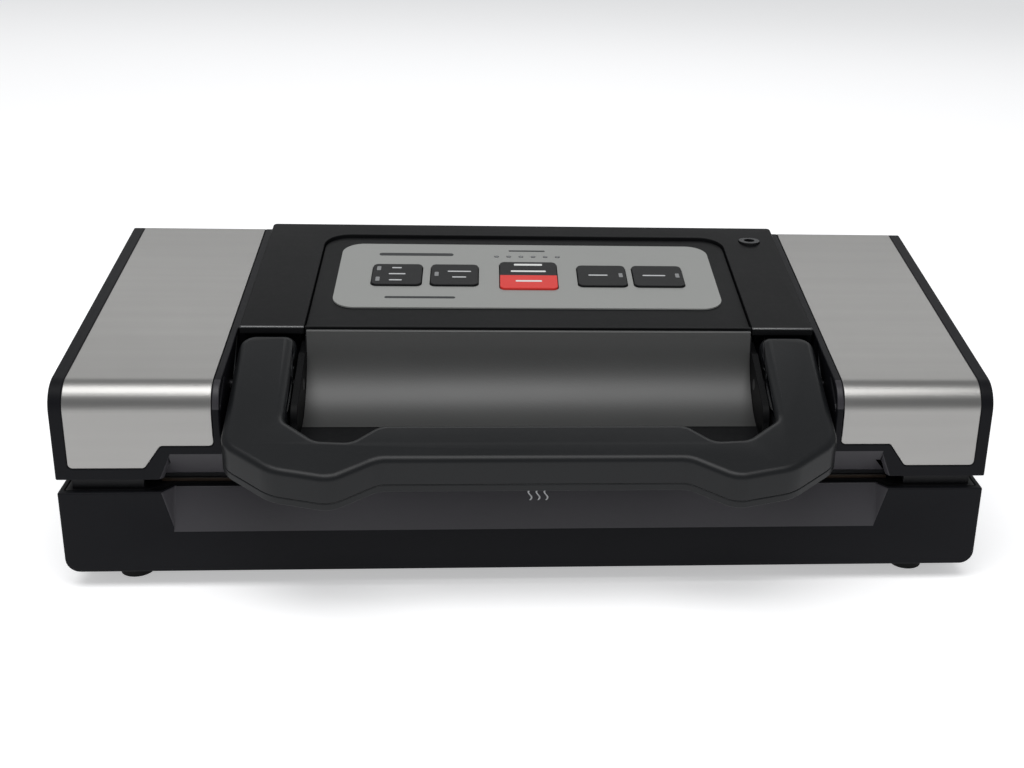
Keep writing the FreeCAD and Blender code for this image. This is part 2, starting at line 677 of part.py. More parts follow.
def make_lid_frame():
    """Black lid housing: two pods, a rear strip, the front lip and the pockets for the handle's arms."""
    shell = lid_solid(0, -HALF, HALF).cut(lid_solid(WALL, -HALF + WALL, HALF - WALL, LID_BOTTOM - 1))
    front_window = block(-SLOT_OUTER, SLOT_OUTER, -1, POCKET_REAR, SLOT_HIGH + 5, 140)
    top_window = block(-COVER_HALF + 5, COVER_HALF - 5, POCKET_REAR - 1, COVER_REAR - 6, FRONT_TOP, 140)
    shell = shell.cut(front_window).cut(top_window)
    wall = side_prism([(WALL / 2, POCKET_FLOOR), (POCKET_REAR + WALL, POCKET_FLOOR),
                       (POCKET_REAR + WALL, top_at(POCKET_REAR + WALL, -1)),
                       (20, top_at(20, -1)), (WALL / 2, 80)], SLOT_OUTER, SLOT_OUTER + WALL, [0, 0, 0, 0, 8])
    wall = wall.common(lid_solid(0.2, SLOT_OUTER - 1, SLOT_OUTER + WALL + 1))
    x0 = SLOT_INNER + GAP
    x1 = SLOT_OUTER + WALL
    behind = POCKET_REAR + WALL
    floor = block(x0, x1, WALL / 2, behind, POCKET_FLOOR - WALL, POCKET_FLOOR)
    back = side_prism([(POCKET_REAR, POCKET_FLOOR - WALL), (behind, POCKET_FLOOR - WALL),
                       (behind, top_at(behind, -0.2)), (POCKET_REAR, top_at(POCKET_REAR, -0.2))], x0, x1)
    lip = block(-SLOT_OUTER - 1, SLOT_OUTER + 1, 0.0, WALL, SLOT_HIGH - 4, SLOT_HIGH + 5)
    chamfer = side_prism([(0, SLOT_HIGH), (WALL, SLOT_HIGH + 2), (SLOT_DEPTH + 2.2, LID_BOTTOM),
                          (SLOT_DEPTH, LID_BOTTOM)], -SLOT_FLARE, SLOT_FLARE)
    parts = [shell, wall, mirrored(wall), floor, mirrored(floor), back, mirrored(back), lip, chamfer]
    frame = joined(parts).cut(lid_slot_cut())
    cuts = [steel_blank(GAP / 4, -0.2)]
    cuts.append(mirrored(cuts[0]))
    cuts += [rod(PIVOT_R + PIN_FIT, (SLOT_OUTER - 2, PIVOT_Y, PIVOT_Z), (1, 0, 0), 6),
             rod(PIVOT_R + PIN_FIT, (-SLOT_OUTER + 2, PIVOT_Y, PIVOT_Z), (-1, 0, 0), 6)]
    frame = frame.cut(Part.makeCompound(cuts))
    bosses = [rod(4.0, (x, y, LID_BOTTOM + 3), (0, 0, 1), 20) for x, y in LID_SCREWS]
    webs = [block(x, HALF - 1, y - 1, y + 1, LID_BOTTOM + 8, LID_BOTTOM + 23) for x, y in LID_SCREWS if x > 0]
    frame = joined([frame] + bosses + webs + [mirrored(web) for web in webs])
    pilots = [rod(PILOT_R, (x, y, LID_BOTTOM), (0, 0, 1), 16) for x, y in LID_SCREWS]
    return frame.cut(Part.makeCompound(pilots + [port_seat()]))


LID_SCREWS = [(x, y) for x in (-(HALF - 13), HALF - 13) for y in (56.0, HINGE_Y - 13)]


def steel_outline(grow):
    """Front view of the right-hand steel panel, with the notch above the bag slot."""
    inner = STEEL_INNER - grow
    outer = HALF - STEEL_BORDER + grow
    return [(inner, STEEL_NOTCH - grow), (NOTCH_FROM, STEEL_NOTCH - grow), (NOTCH_TO, STEEL_LOW - grow),
            (outer, STEEL_LOW - grow), (outer, 140), (inner, 140)]


def steel_blank(grow, sink):
    """Bent skin between the lid's surface and STEEL_THICK below it, trimmed to the panel's outline."""
    under = STEEL_THICK + (0.1 if sink else 0.0)
    skin = lid_solid(sink, STEEL_INNER - 4, HALF, 40).cut(lid_solid(under, 0, HALF + 1, 30))
    wire = rounded_wire([V(x, -2, z) for x, z in steel_outline(grow)], [2.0 + grow, 2, 2, 2.0 + grow, 0, 0])
    column = Part.Face(wire).extrude(V(0, DEPTH + 1.2 - STEEL_REAR + grow, 0))
    return skin.common(column)


STEEL_REAR = 1.2


def make_steel_panel():
    """Brushed steel cladding of the right pod: a bent sheet flush with the housing."""
    return steel_blank(0, 0)


def make_centre_cover():
    """Raised cover in the middle of the lid, with the opening for the control panel."""
    corners = [(-COVER_HALF, COVER_FRONT), (COVER_HALF, COVER_FRONT), (COVER_HALF, COVER_REAR),
               (-COVER_HALF, COVER_REAR)]
    cover = sloping_prism(corners, [1.0, 1.0, 2.0, 2.0], 0.05, COVER_RAISE)
    half = PANEL_HALF + GAP
    rear = PANEL_REAR + GAP
    corners = [(-half, COVER_FRONT - 3), (half, COVER_FRONT - 3), (half, rear), (-half, rear)]
    window = sloping_prism(corners, [0, 0, PANEL_CORNER, PANEL_CORNER], -3, COVER_RAISE + 3)
    rim = [edge for edge in cover.Edges if on_cover_top(edge)]
    cover = cover.makeFillet(0.8, rim).cut(window)
    return cover.cut(port_seat())


def on_cover_top(edge):
    """True for the edges round the cover's upper face."""
    return all(abs(v.Z - top_at(v.Y, COVER_RAISE)) < 0.01 for v in edge.Vertexes)


def cove_path(offset):
    """Points of the cove's arc in side view, offset outwards into the lid."""
    radius = COVE_RADIUS + offset
    angles = [math.radians(a) for a in (-4, -40, -78)]
    return [V(0, COVE_Y + radius * math.cos(a), COVE_Z + radius * math.sin(a)) for a in angles]


def make_control_panel():
    """Sunk panel plate that rolls over at its front into the cove, with a cheek at each end."""
    corners = [(-PANEL_HALF, COVER_FRONT), (PANEL_HALF, COVER_FRONT), (PANEL_HALF, PANEL_REAR),
               (-PANEL_HALF, PANEL_REAR)]
    corner = PANEL_CORNER - GAP
    plate = sloping_prism(corners, [0, 0, corner, corner], PANEL_RAISE - PANEL_THICK, PANEL_RAISE)
    foot = PANEL_RAISE - 0.5
    crest = top_at(COVER_FRONT, COVER_RAISE)
    outline = [(COVER_FRONT, top_at(COVER_FRONT, foot)), (COVER_FRONT, crest), (COVER_FRONT + 1.2, crest),
               (COVER_FRONT + 6, top_at(COVER_FRONT + 6, foot))]
    step = side_prism(outline, -PANEL_HALF, PANEL_HALF)
    surface = cove_path(0)
    under = cove_path(PANEL_THICK)
    edges = [
        Part.Arc(*surface).toShape(),
        Part.makePolygon([surface[2], V(0, WALL + 1.0, surface[2].z - 2.2),
                          V(0, WALL + 1.0, surface[2].z - 5.0), under[2]]),
        Part.Arc(under[2], under[1], under[0]).toShape(),
        Part.makePolygon([under[0], V(0, COVER_FRONT + 3, top_at(COVER_FRONT, 0)),
                          V(0, COVER_FRONT + 3, top_at(COVER_FRONT, 1.0)),
                          V(0, surface[0].y, surface[0].z + 0.8), surface[0]]),
    ]
    flat = []
    for edge in edges:
        flat += edge.Edges
    cove = Part.Face(Part.Wire(Part.__sortEdges__(flat))).extrude(V(2 * COVE_HALF, 0, 0))
    cove.translate(V(-COVE_HALF, 0, 0))
    cheek = make_cheek()
    panel = joined([plate, step, cove, cheek, mirrored(cheek)])
    bar = rod(PIVOT_R + PIN_FIT, (-SLOT_INNER - 1, PIVOT_Y, PIVOT_Z), (1, 0, 0), 2 * SLOT_INNER + 2)
    cuts = [bar] + [key_opening(*key[1:]) for key in KEYS] + [light_hole(i) for i in range(LIGHT_COUNT)]
    return panel.cut(Part.makeCompound(cuts))


def make_cheek():
    """Plate at the cove's right end that carries the handle's pin."""
    drop = 3.5
    low = POCKET_FLOOR + 2.0
    outline = [(WALL + 1.0, low), (POCKET_REAR - 3, low), (POCKET_REAR - 3, top_at(POCKET_REAR - 3, -4)),
               (COVE_Y + COVE_RADIUS, top_at(COVE_Y + COVE_RADIUS, -4.5)),
               (COVE_Y + COVE_RADIUS - 4, handle_top(COVE_Y + COVE_RADIUS - 4) - drop),
               (WALL + 1.0, handle_top(WALL + 1.0) - drop)]
    return side_prism(outline, COVE_HALF - 0.5, COVE_HALF + CHEEK_THICK, [0, 0, 0, 0, 2, 8])


def handle_top(y):
    """Height of the handle's top plane at y."""
    return HANDLE_ORIGIN_Z + HANDLE_TILT * (y - HANDLE_ORIGIN_Y)


def key_opening(x, width, depth):
    """Hole in the panel and overlay for one key, with room to slide."""
    half = width / 2 + GAP
    deep = depth / 2 + GAP
    return sloping_pad(x - half, x + half, KEY_Y - deep, KEY_Y + deep, KEY_CORNER + GAP, -4, 4)


def light_hole(index):
    """Hole for one status light."""
    x = (index - (LIGHT_COUNT - 1) / 2) * LIGHT_PITCH
    return rod(1.2, (x, LIGHT_Y, top_at(LIGHT_Y, -3)), (0, 0, 1), 8)


def make_panel_overlay():
    """Printed silver foil on the control panel."""
    foil = sloping_pad(-OVERLAY_HALF, OVERLAY_HALF, OVERLAY_FRONT, OVERLAY_REAR, OVERLAY_CORNER,
                       PANEL_RAISE, PANEL_RAISE + OVERLAY_THICK)
    cuts = [key_opening(*key[1:]) for key in KEYS] + [light_hole(i) for i in range(LIGHT_COUNT)]
    return foil.cut(Part.makeCompound(cuts))


def make_key(x, width, depth):
    """Key cap with a stem down to its switch."""
    cap = sloping_pad(x - width / 2, x + width / 2, KEY_Y - depth / 2, KEY_Y + depth / 2, KEY_CORNER,
                      PANEL_RAISE - 1.9, PANEL_RAISE + OVERLAY_THICK + KEY_PROUD)
    stem = block(x - 2, x + 2, KEY_Y - 2, KEY_Y + 2, top_at(KEY_Y, -4.2), top_at(KEY_Y, PANEL_RAISE - 1.5))
    return joined([cap, stem])


BOARD_DROP = 9.0


def make_control_board():
    """Circuit board under the panel, parallel to it."""
    return between_tops(-80, 80, 84, 134, -BOARD_DROP - 1.6, -BOARD_DROP)


def make_key_switches():
    """Push switches on the board, one under each key."""
    top = top_at(KEY_Y, -4.2 - KEY_TRAVEL - 0.2)
    low = top_at(KEY_Y, -BOARD_DROP + 0.5)
    return Part.makeCompound([joined([block(key[1] - 3, key[1] + 3, KEY_Y - 3, KEY_Y + 3, low, low + 2.5),
                                      rod(1.6, (key[1], KEY_Y, low), (0, 0, 1), top - low)]) for key in KEYS])


def make_status_lights():
    """Row of light pipes through the panel."""
    lights = []
    for index in range(LIGHT_COUNT):
        x = (index - (LIGHT_COUNT - 1) / 2) * LIGHT_PITCH
        lights.append(rod(1.1, (x, LIGHT_Y, top_at(LIGHT_Y, -BOARD_DROP + 0.3)), (0, 0, 1),
                          BOARD_DROP + PANEL_RAISE + OVERLAY_THICK))
    return Part.makeCompound(lights)


def port_seat():
    """Hole for the canister port through the cover and the housing."""
    return rod(PORT_OUTER + GAP / 4, (PORT_X, PORT_Y, top_at(PORT_Y) - 12), (0, 0, 1), 30)


def make_canister_port():
    """Suction socket for a hose, open at the top and closed below by its side nipple."""
    top = top_at(PORT_Y, COVER_RAISE + 0.6)
    body = rod(PORT_OUTER, (PORT_X, PORT_Y, top - PORT_DEPTH - 3), (0, 0, 1), PORT_DEPTH + 3)
    flange = rod(PORT_OUTER + 2, (PORT_X, PORT_Y, top - PORT_DEPTH - 3), (0, 0, 1), 2.0)
    nipple = rod(2.0, (PORT_X, PORT_Y, top - PORT_DEPTH - 9), (0, 0, 1), 6.5)
    bore = rod(PORT_BORE, (PORT_X, PORT_Y, top - PORT_DEPTH), (0, 0, 1), PORT_DEPTH + 1)
    return joined([body, flange, nipple]).cut(bore)


# ---------------------------------------------------------------- lid underside

TRAY_THICK = 2.5
TRAY_LOW = LID_BOTTOM + 0.3


def make_lid_tray():
    """Inner face of the lid: a plate with the upper chamber, the dome over the roll and the hinge lugs."""
    gap = GAP / 2
    side = HALF - WALL - gap
    slot = SLOT_DEPTH + 2.6
    step = SLOT_FLARE + 4
    rear = HINGE_Y - HINGE_GROOVE_R - 0.5
    outline = [(-side, WALL + gap), (-step, WALL + gap), (-step, slot), (step, slot), (step, WALL + gap),
               (side, WALL + gap), (side, rear), (-side, rear)]
    plate = plan_prism(outline, [0] * 8, TRAY_LOW, TRAY_LOW + TRAY_THICK)
    rail_room = block(-RAIL_HALF - 2, RAIL_HALF + 2, RAIL_Y - 7, RAIL_Y + 7, TRAY_LOW, TRAY_LOW + 6.5)
    dome = side_prism(dome_points(0), -ROLL_HALF - WALL, ROLL_HALF + WALL, [0, 18, 18, 0])
    lugs = [hinge_lug(x) for x in (-HINGE_X, HINGE_X)]
    half, front, back = CHAMBER
    wide = half + WALL
    chamber = rounded_block(-wide, wide, front - WALL, back + WALL, TRAY_LOW, TRAY_LOW + 5, CORNER_R)
    tray = joined([plate, dome, chamber, rail_room] + lugs)
    cuts = [
        side_prism(dome_points(WALL), -ROLL_HALF, ROLL_HALF, [0, 16, 16, 0]),
        rounded_block(-half, half, front, back, TRAY_LOW - 1, TRAY_LOW + 5 - 2.0, CORNER_R - 1),
        block(-RAIL_HALF, RAIL_HALF, RAIL_Y - 5, RAIL_Y + 5, TRAY_LOW - 1, TRAY_LOW + 4.0),
        latch_window(TRAY_LOW - 1, TRAY_LOW + 10),
        mirrored(latch_window(TRAY_LOW - 1, TRAY_LOW + 10)),
        rod(HINGE_R + PIN_FIT, (-HINGE_X - 20, HINGE_Y, HINGE_Z), (1, 0, 0), 40),
        rod(HINGE_R + PIN_FIT, (HINGE_X - 20, HINGE_Y, HINGE_Z), (1, 0, 0), 40),
    ]
    cuts += [rod(1.6, (x, y, TRAY_LOW - 1), (0, 0, 1), 8) for x, y in LID_SCREWS]
    return tray.cut(Part.makeCompound(cuts))


def dome_points(inset):
    """Side view of the dome over the roll store."""
    low = TRAY_LOW - (1 if inset else 0)
    high = DOME_TOP - inset
    return [(ROLL_FRONT - WALL + inset, low), (ROLL_FRONT - WALL + inset, high),
            (ROLL_REAR + WALL - inset - 4, high + 3), (ROLL_REAR + WALL - inset - 4, low)]


DOME_TOP = LID_BOTTOM + 33.3


def hinge_lug(x):
    """Lug that hangs from the tray's rear edge down round the hinge pin."""
    half = LUG_WIDTH / 2
    eye = rod(KNUCKLE_R, (x - half, HINGE_Y, HINGE_Z), (1, 0, 0), LUG_WIDTH)
    front = HINGE_Y - HINGE_GROOVE_R - 4
    rear = HINGE_Y + KNUCKLE_R
    outline = [(front, TRAY_LOW), (HINGE_Y - 3.5, HINGE_Z), (rear, HINGE_Z), (rear, TRAY_LOW + 8),
               (front, TRAY_LOW + 8)]
    arm = side_prism(outline, x - half, x + half)
    return eye.fuse(arm)


def make_upper_gasket():
    """Foam ring in the lid that meets the lower one."""
    return gasket_ring(-0.4, DECK_TOP + 2.4, TRAY_LOW)


def make_pressure_strip():
    """Rubber strip that presses the bag on to the sealing bar."""
    half = SEAL_WIDTH / 2 - 0.6
    return block(-SEAL_HALF, SEAL_HALF, SEAL_Y - half, SEAL_Y + half, DECK_TOP + 1.8, TRAY_LOW)


def make_lid_screws():
    """Screws that hold the inner tray to the lid housing."""
    return Part.makeCompound([screw(x, y, TRAY_LOW - 2.0, 13.0) for x, y in LID_SCREWS])


# ---------------------------------------------------------------- vacuum system in the right pod

PUMP_X = HALF - 20
PUMP_LOW = TRAY_LOW + TRAY_THICK


def make_pump_motor():
    """Direct current motor of the vacuum pump, lying along y."""
    z = PUMP_LOW + 15.0
    can = rod(13.5, (PUMP_X, 92, z), (0, 1, 0), 40)
    boss = rod(5.0, (PUMP_X, 132, z), (0, 1, 0), 2.5)
    shaft = rod(1.5, (PUMP_X, 88.5, z), (0, 1, 0), 4)
    return joined([can, boss, shaft])


def make_pump_head():
    """Diaphragm pump head on the front of the motor."""
    z = PUMP_LOW + 15.0
    body = rounded_block(PUMP_X - 14, PUMP_X + 14, 66, 92, PUMP_LOW + 1.2, PUMP_LOW + 28, 3.0)
    body = body.cut(rod(1.8, (PUMP_X, 88, z), (0, 1, 0), 5))
    nipples = [rod(2.0, (PUMP_X + dx, 79, PUMP_LOW + 27.5), (0, 0, 1), 5) for dx in (-6, 6)]
    return joined([body] + nipples)


def make_pump_cushion():
    """Rubber bed between the pump and the tray."""
    bed = block(PUMP_X - 12, PUMP_X + 12, 94, 130, PUMP_LOW, PUMP_LOW + 8)
    return bed.cut(rod(13.5 + GAP / 4, (PUMP_X, 90, PUMP_LOW + 15.0), (0, 1, 0), 44))


def make_release_valve():
    """Solenoid valve that lets air back in, in the left pod."""
    x = -PUMP_X
    coil = block(x - 9, x + 9, 96, 120, PUMP_LOW, PUMP_LOW + 16)
    stem = rod(3.0, (x, 120, PUMP_LOW + 8), (0, 1, 0), 7)
    return joined([coil, stem])


def make_pressure_switch():
    """Vacuum switch beside the valve."""
    x = -PUMP_X
    disc = rod(11.0, (x, 78, PUMP_LOW), (0, 0, 1), 8)
    return joined([disc, rod(2.0, (x, 78, PUMP_LOW + 8), (0, 0, 1), 6)])


# ---------------------------------------------------------------- handle and latches

HANDLE_FRONT = -HANDLE_REACH - 0.7


def handle_plan(z0, z1):
    """Plan of the U-shaped handle: two arms and a bar that bulges at its corners."""
    outer = [(62, 9.5 - HANDLE_REACH), (80, HANDLE_FRONT), (104, 4.3 - HANDLE_REACH), (ARM_OUTER, -17.0),
             (ARM_OUTER, ARM_REAR)]
    inner = [(ARM_INNER, ARM_REAR), (ARM_INNER, -3.2), (87.5, -14.0), (73.5, -14.8), (62.5, -5.8)]
    right = outer + inner
    outer_r = [12, 13, 22, 12, 7]
    inner_r = [5.5, 4, 9, 8, 10]
    points = right + [(-x, y) for x, y in reversed(right)]
    radii = outer_r + inner_r
    radii = radii + list(reversed(radii))
    return plan_prism(points, radii, z0, z1)


def handle_slab(low, high):
    """Tilted layer of the handle between two depths below its top plane."""
    y0 = -60.0
    y1 = 60.0
    outline = [(y0, handle_top(y0) - low), (y1, handle_top(y1) - low), (y1, handle_top(y1) - high),
               (y0, handle_top(y0) - high)]
    return side_prism(outline, -HALF, HALF)


def make_handle_grip():
    """Upper shell of the handle with the bosses for its pins."""
    layer = handle_plan(30, 120).common(handle_slab(HANDLE_THICK - HANDLE_SHELL, 0))
    rim = [edge for edge in layer.Edges if all(abs(v.Z - handle_top(v.Y)) < 0.01 for v in edge.Vertexes)]
    layer = layer.makeFillet(HANDLE_ROUND, rim)
    boss = rod(BOSS_R, (ARM_INNER, PIVOT_Y, PIVOT_Z), (1, 0, 0), ARM_OUTER - ARM_INNER)
    bosses = [boss, mirrored(boss)]
    bore = rod(PIVOT_R + 0.01, (-HALF, PIVOT_Y, PIVOT_Z), (1, 0, 0), WIDTH)
    return joined([layer] + bosses).cut(bore)


def make_handle_underside():
    """Lower shell of the handle."""
    layer = handle_plan(30, 120).common(handle_slab(HANDLE_THICK, HANDLE_THICK - HANDLE_SHELL))
    clear = rod(BOSS_R + GAP / 4, (-HALF, PIVOT_Y, PIVOT_Z), (1, 0, 0), WIDTH)
    rear = block(-HALF, HALF, PIVOT_Y, ARM_REAR + 1, 0, 200)
    return layer.cut(clear).cut(rear)


def make_handle_pins():
    """Steel pins fixed in the arms; they turn in the cheeks and in the pods' walls."""
    start = COVE_HALF - 0.5
    return pair(rod(PIVOT_R, (start, PIVOT_Y, PIVOT_Z), (1, 0, 0), LATCH_X - 8 - start))


def make_handle_cams():
    """Cams at the pins' outer ends that push the latch hooks."""
    cam = rod(5.0, (LATCH_X - 12, PIVOT_Y, PIVOT_Z), (1, 0, 0), 4.0)
    lobe = block(LATCH_X - 12, LATCH_X - 8, PIVOT_Y - 2, PIVOT_Y + 2, PIVOT_Z + 2, PIVOT_Z + 9)
    return pair(joined([cam, lobe]).cut(rod(PIVOT_R + 0.01, (LATCH_X - 14, PIVOT_Y, PIVOT_Z), (1, 0, 0), 9)))


def make_latch_hooks():
    """Hooks that hang from their pins and catch the strikes."""
    x0 = LATCH_X - LATCH_WIDTH / 2
    x1 = x0 + LATCH_WIDTH
    nose_top = STRIKE_Z - STRIKE_R - 0.4
    shank_front = STRIKE_Y + STRIKE_R + 0.8
    foot = nose_top - 5
    outline = [(shank_front, LATCH_Z), (shank_front, nose_top), (STRIKE_Y - 1.5, nose_top),
               (STRIKE_Y - 3.0, nose_top - 1.0), (shank_front - 1, foot), (shank_front + 7, foot),
               (LATCH_Y + 4.0, LATCH_Z)]
    hook = side_prism(outline, x0, x1)
    eye = rod(6.0, (x0, LATCH_Y, LATCH_Z), (1, 0, 0), LATCH_WIDTH)
    hole = rod(2.0 + PIN_FIT, (x0 - 1, LATCH_Y, LATCH_Z), (1, 0, 0), LATCH_WIDTH + 2)
    return pair(joined([hook, eye]).cut(hole))


def make_latch_pins():
    """Pins in the lid that the hooks turn on, with their bearing posts."""
    pin = rod(2.0, (LATCH_X - 7, LATCH_Y, LATCH_Z), (1, 0, 0), 14)
    posts = [block(x, x + 2.5, LATCH_Y - 4, LATCH_Y + 4, TRAY_LOW + TRAY_THICK, LATCH_Z + 4)
             for x in (LATCH_X - 8, LATCH_X + 5.5)]
    return pair(joined([pin] + posts))


# ---------------------------------------------------------------- everything

def main():
    """Build and write every sub-part."""
    os.makedirs("parts", exist_ok=True)
    steel = make_steel_panel()
    pieces = {
        "base_tray": make_base_tray(),
        "base_deck": make_base_deck(),
        "roll_tray": make_roll_tray(),
        "rubber_feet": make_feet(),
        "base_screws": make_base_screws(),
        "sealing_bar": make_sealing_bar(),
        "heating_element": make_heating_element(),
        "seal_tape": make_seal_tape(),
        "lower_gasket": make_lower_gasket(),
        "drip_tray": make_drip_tray(),
        "latch_strikes": make_latch_strikes(),
        "mains_inlet": make_mains_inlet(),
        "inlet_pins": make_inlet_pins(),
        "power_board": make_power_board(),
        "transformer": make_transformer(),
        "lid_switch": make_lid_switch(),
        "hinge_brackets": make_hinge_brackets(),
        "hinge_pins": make_hinge_pins(),
        "rail_screws": make_rail_screws(),
        "cutter_rail": make_cutter_rail(),
        "cutter_slider": make_cutter_slider(),
        "cutter_blade": make_cutter_blade(),
        "lid_frame": make_lid_frame(),
        "steel_panel_right": steel,
        "steel_panel_left": mirrored(steel),
        "centre_cover": make_centre_cover(),
        "control_panel": make_control_panel(),
        "panel_overlay": make_panel_overlay(),
        "control_board": make_control_board(),
        "key_switches": make_key_switches(),
        "status_lights": make_status_lights(),
        "canister_port": make_canister_port(),
        "lid_tray": make_lid_tray(),
        "upper_gasket": make_upper_gasket(),
        "pressure_strip": make_pressure_strip(),
        "lid_screws": make_lid_screws(),
        "pump_motor": make_pump_motor(),
        "pump_head": make_pump_head(),
        "pump_cushion": make_pump_cushion(),
        "release_valve": make_release_valve(),
        "pressure_switch": make_pressure_switch(),
        "latch_pins": make_latch_pins(),
        "latch_hooks": make_latch_hooks(),
        "handle_grip": make_handle_grip(),
        "handle_underside": make_handle_underside(),
        "handle_pins": make_handle_pins(),
        "handle_cams": make_handle_cams(),
    }
    for name, x, width, depth in KEYS:
        pieces[name] = make_key(x, width, depth)
    for name, shape in pieces.items():
        box = shape.BoundBox
        print(name, shape.isValid(), len(shape.Solids), round(shape.Volume / 1000, 2),
              [round(v, 1) for v in (box.XMin, box.YMin, box.ZMin, box.XMax, box.YMax, box.ZMax)])
        publish(name, shape)


main()
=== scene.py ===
"""Looks of the vacuum packing machine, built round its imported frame.

Each sub-assembly is a class that makes its own pieces and dresses them. Sizes come from the frame's
boxes or stand as dataclass fields, in metres.
"""

import logging
import math
from dataclasses import dataclass, field
from enum import Enum

import bmesh
import bpy
from mathutils import Matrix, Vector


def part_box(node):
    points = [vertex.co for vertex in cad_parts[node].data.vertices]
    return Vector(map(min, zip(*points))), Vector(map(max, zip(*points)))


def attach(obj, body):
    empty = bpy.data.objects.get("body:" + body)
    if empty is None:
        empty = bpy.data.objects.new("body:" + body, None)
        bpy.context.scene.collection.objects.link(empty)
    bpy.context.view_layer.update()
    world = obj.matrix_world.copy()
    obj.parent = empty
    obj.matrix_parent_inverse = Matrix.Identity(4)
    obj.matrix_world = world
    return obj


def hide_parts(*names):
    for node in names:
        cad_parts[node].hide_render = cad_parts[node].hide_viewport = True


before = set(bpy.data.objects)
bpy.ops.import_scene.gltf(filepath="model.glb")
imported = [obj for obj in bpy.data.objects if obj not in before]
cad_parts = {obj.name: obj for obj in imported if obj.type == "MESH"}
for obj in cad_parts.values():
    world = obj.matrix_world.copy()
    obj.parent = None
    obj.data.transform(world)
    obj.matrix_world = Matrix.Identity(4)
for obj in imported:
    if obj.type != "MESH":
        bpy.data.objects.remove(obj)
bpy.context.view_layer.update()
LOG = logging.getLogger("vacuum_packer")
MM = 0.001
RELIEF_HEIGHT = 0.08 * MM
COAT_ROUGHNESS = 0.18
DUST_COLOUR = (0.42, 0.41, 0.39)

Socket = bpy.types.NodeSocket
Colour = tuple[float, float, float]


# ---------------------------------------------------------------- shader groups

class Kind(Enum):
    """Kinds of surface relief: even grain, straight brushing or cloth."""

    GRAINED = "grained"
    BRUSHED = "brushed"
    WOVEN = "woven"


class GroupMaker:
    """Builds one shader node group with named sockets."""

    def __init__(self, name: str, inputs: dict[str, float], outputs: dict[str, str]) -> None:
        """Start a group.

        Args:
            name: name of the group.
            inputs: socket names with their default values.
            outputs: socket names with their socket types.
        """
        self.tree = bpy.data.node_groups.new(name, "ShaderNodeTree")
        for label, value in inputs.items():
            socket = self.tree.interface.new_socket(label, in_out="INPUT", socket_type="NodeSocketFloat")
            socket.default_value = value
        for label, kind in outputs.items():
            self.tree.interface.new_socket(label, in_out="OUTPUT", socket_type=kind)
        self.source = self.tree.nodes.new("NodeGroupInput")
        self.sink = self.tree.nodes.new("NodeGroupOutput")
        self.place = self.tree.nodes.new("ShaderNodeTexCoord").outputs["Object"]

    def node(self, kind: str, **settings: str) -> bpy.types.Node:
        """Add a node and set its properties.

        Args:
            kind: the node's type name.
            settings: its properties.

        Returns:
            The new node.
        """
        made = self.tree.nodes.new(kind)
        for key, value in settings.items():
            setattr(made, key, value)
        return made

    def link(self, a: Socket, b: Socket) -> None:
        """Join two sockets."""
        self.tree.links.new(a, b)

    def math(self, operation: str, a: Socket | float, b: Socket | float) -> Socket:
        """Do arithmetic on sockets or numbers.

        Args:
            operation: name of the Math node's operation.
            a: first socket or number.
            b: second socket or number.

        Returns:
            The result's socket.
        """
        made = self.node("ShaderNodeMath", operation=operation)
        for index, value in enumerate((a, b)):
            if isinstance(value, (int, float)):
                made.inputs[index].default_value = value
            else:
                self.link(value, made.inputs[index])
        return made.outputs[0]

    def stretched(self, factors: tuple[float, float, float]) -> Socket:
        """Object coordinates scaled along each axis.

        Args:
            factors: scale along x, y and z.

        Returns:
            The scaled coordinates' socket.
        """
        mapping = self.node("ShaderNodeMapping", vector_type="POINT")
        mapping.inputs["Scale"].default_value = factors
        self.link(self.place, mapping.inputs["Vector"])
        return mapping.outputs["Vector"]

    def noise(self, vector: Socket, scale: Socket | float, detail: float, roughness: float = 0.5) -> Socket:
        """Noise over a vector.

        Args:
            vector: coordinates.
            scale: number or socket.
            detail: octaves.
            roughness: weight of the fine octaves.

        Returns:
            The noise's value socket.
        """
        made = self.node("ShaderNodeTexNoise")
        self.link(vector, made.inputs["Vector"])
        if isinstance(scale, (int, float)):
            made.inputs["Scale"].default_value = scale
        else:
            self.link(scale, made.inputs["Scale"])
        made.inputs["Detail"].default_value = detail
        made.inputs["Roughness"].default_value = roughness
        return made.outputs["Fac"]


def grain_group() -> bpy.types.NodeTree:
    """Spark-eroded grain of moulded plastic, with its height and a slow mottle.

    Returns:
        The group.
    """
    maker = GroupMaker("moulded_grain", {"Cells": 2600.0, "Mottle": 26.0},
                       {"Height": "NodeSocketFloat", "Mottle": "NodeSocketFloat"})
    fine = maker.noise(maker.place, maker.source.outputs["Cells"], 3.0, 0.62)
    cells = maker.node("ShaderNodeTexVoronoi", feature="SMOOTH_F1")
    maker.link(maker.place, cells.inputs["Vector"])
    maker.link(maker.source.outputs["Cells"], cells.inputs["Scale"])
    pits = maker.math("MULTIPLY", cells.outputs["Distance"], 0.35)
    height = maker.math("ADD", maker.math("MULTIPLY", fine, 0.65), pits)
    maker.link(height, maker.sink.inputs["Height"])
    maker.link(maker.noise(maker.place, maker.source.outputs["Mottle"], 4.0), maker.sink.inputs["Mottle"])
    return maker.tree


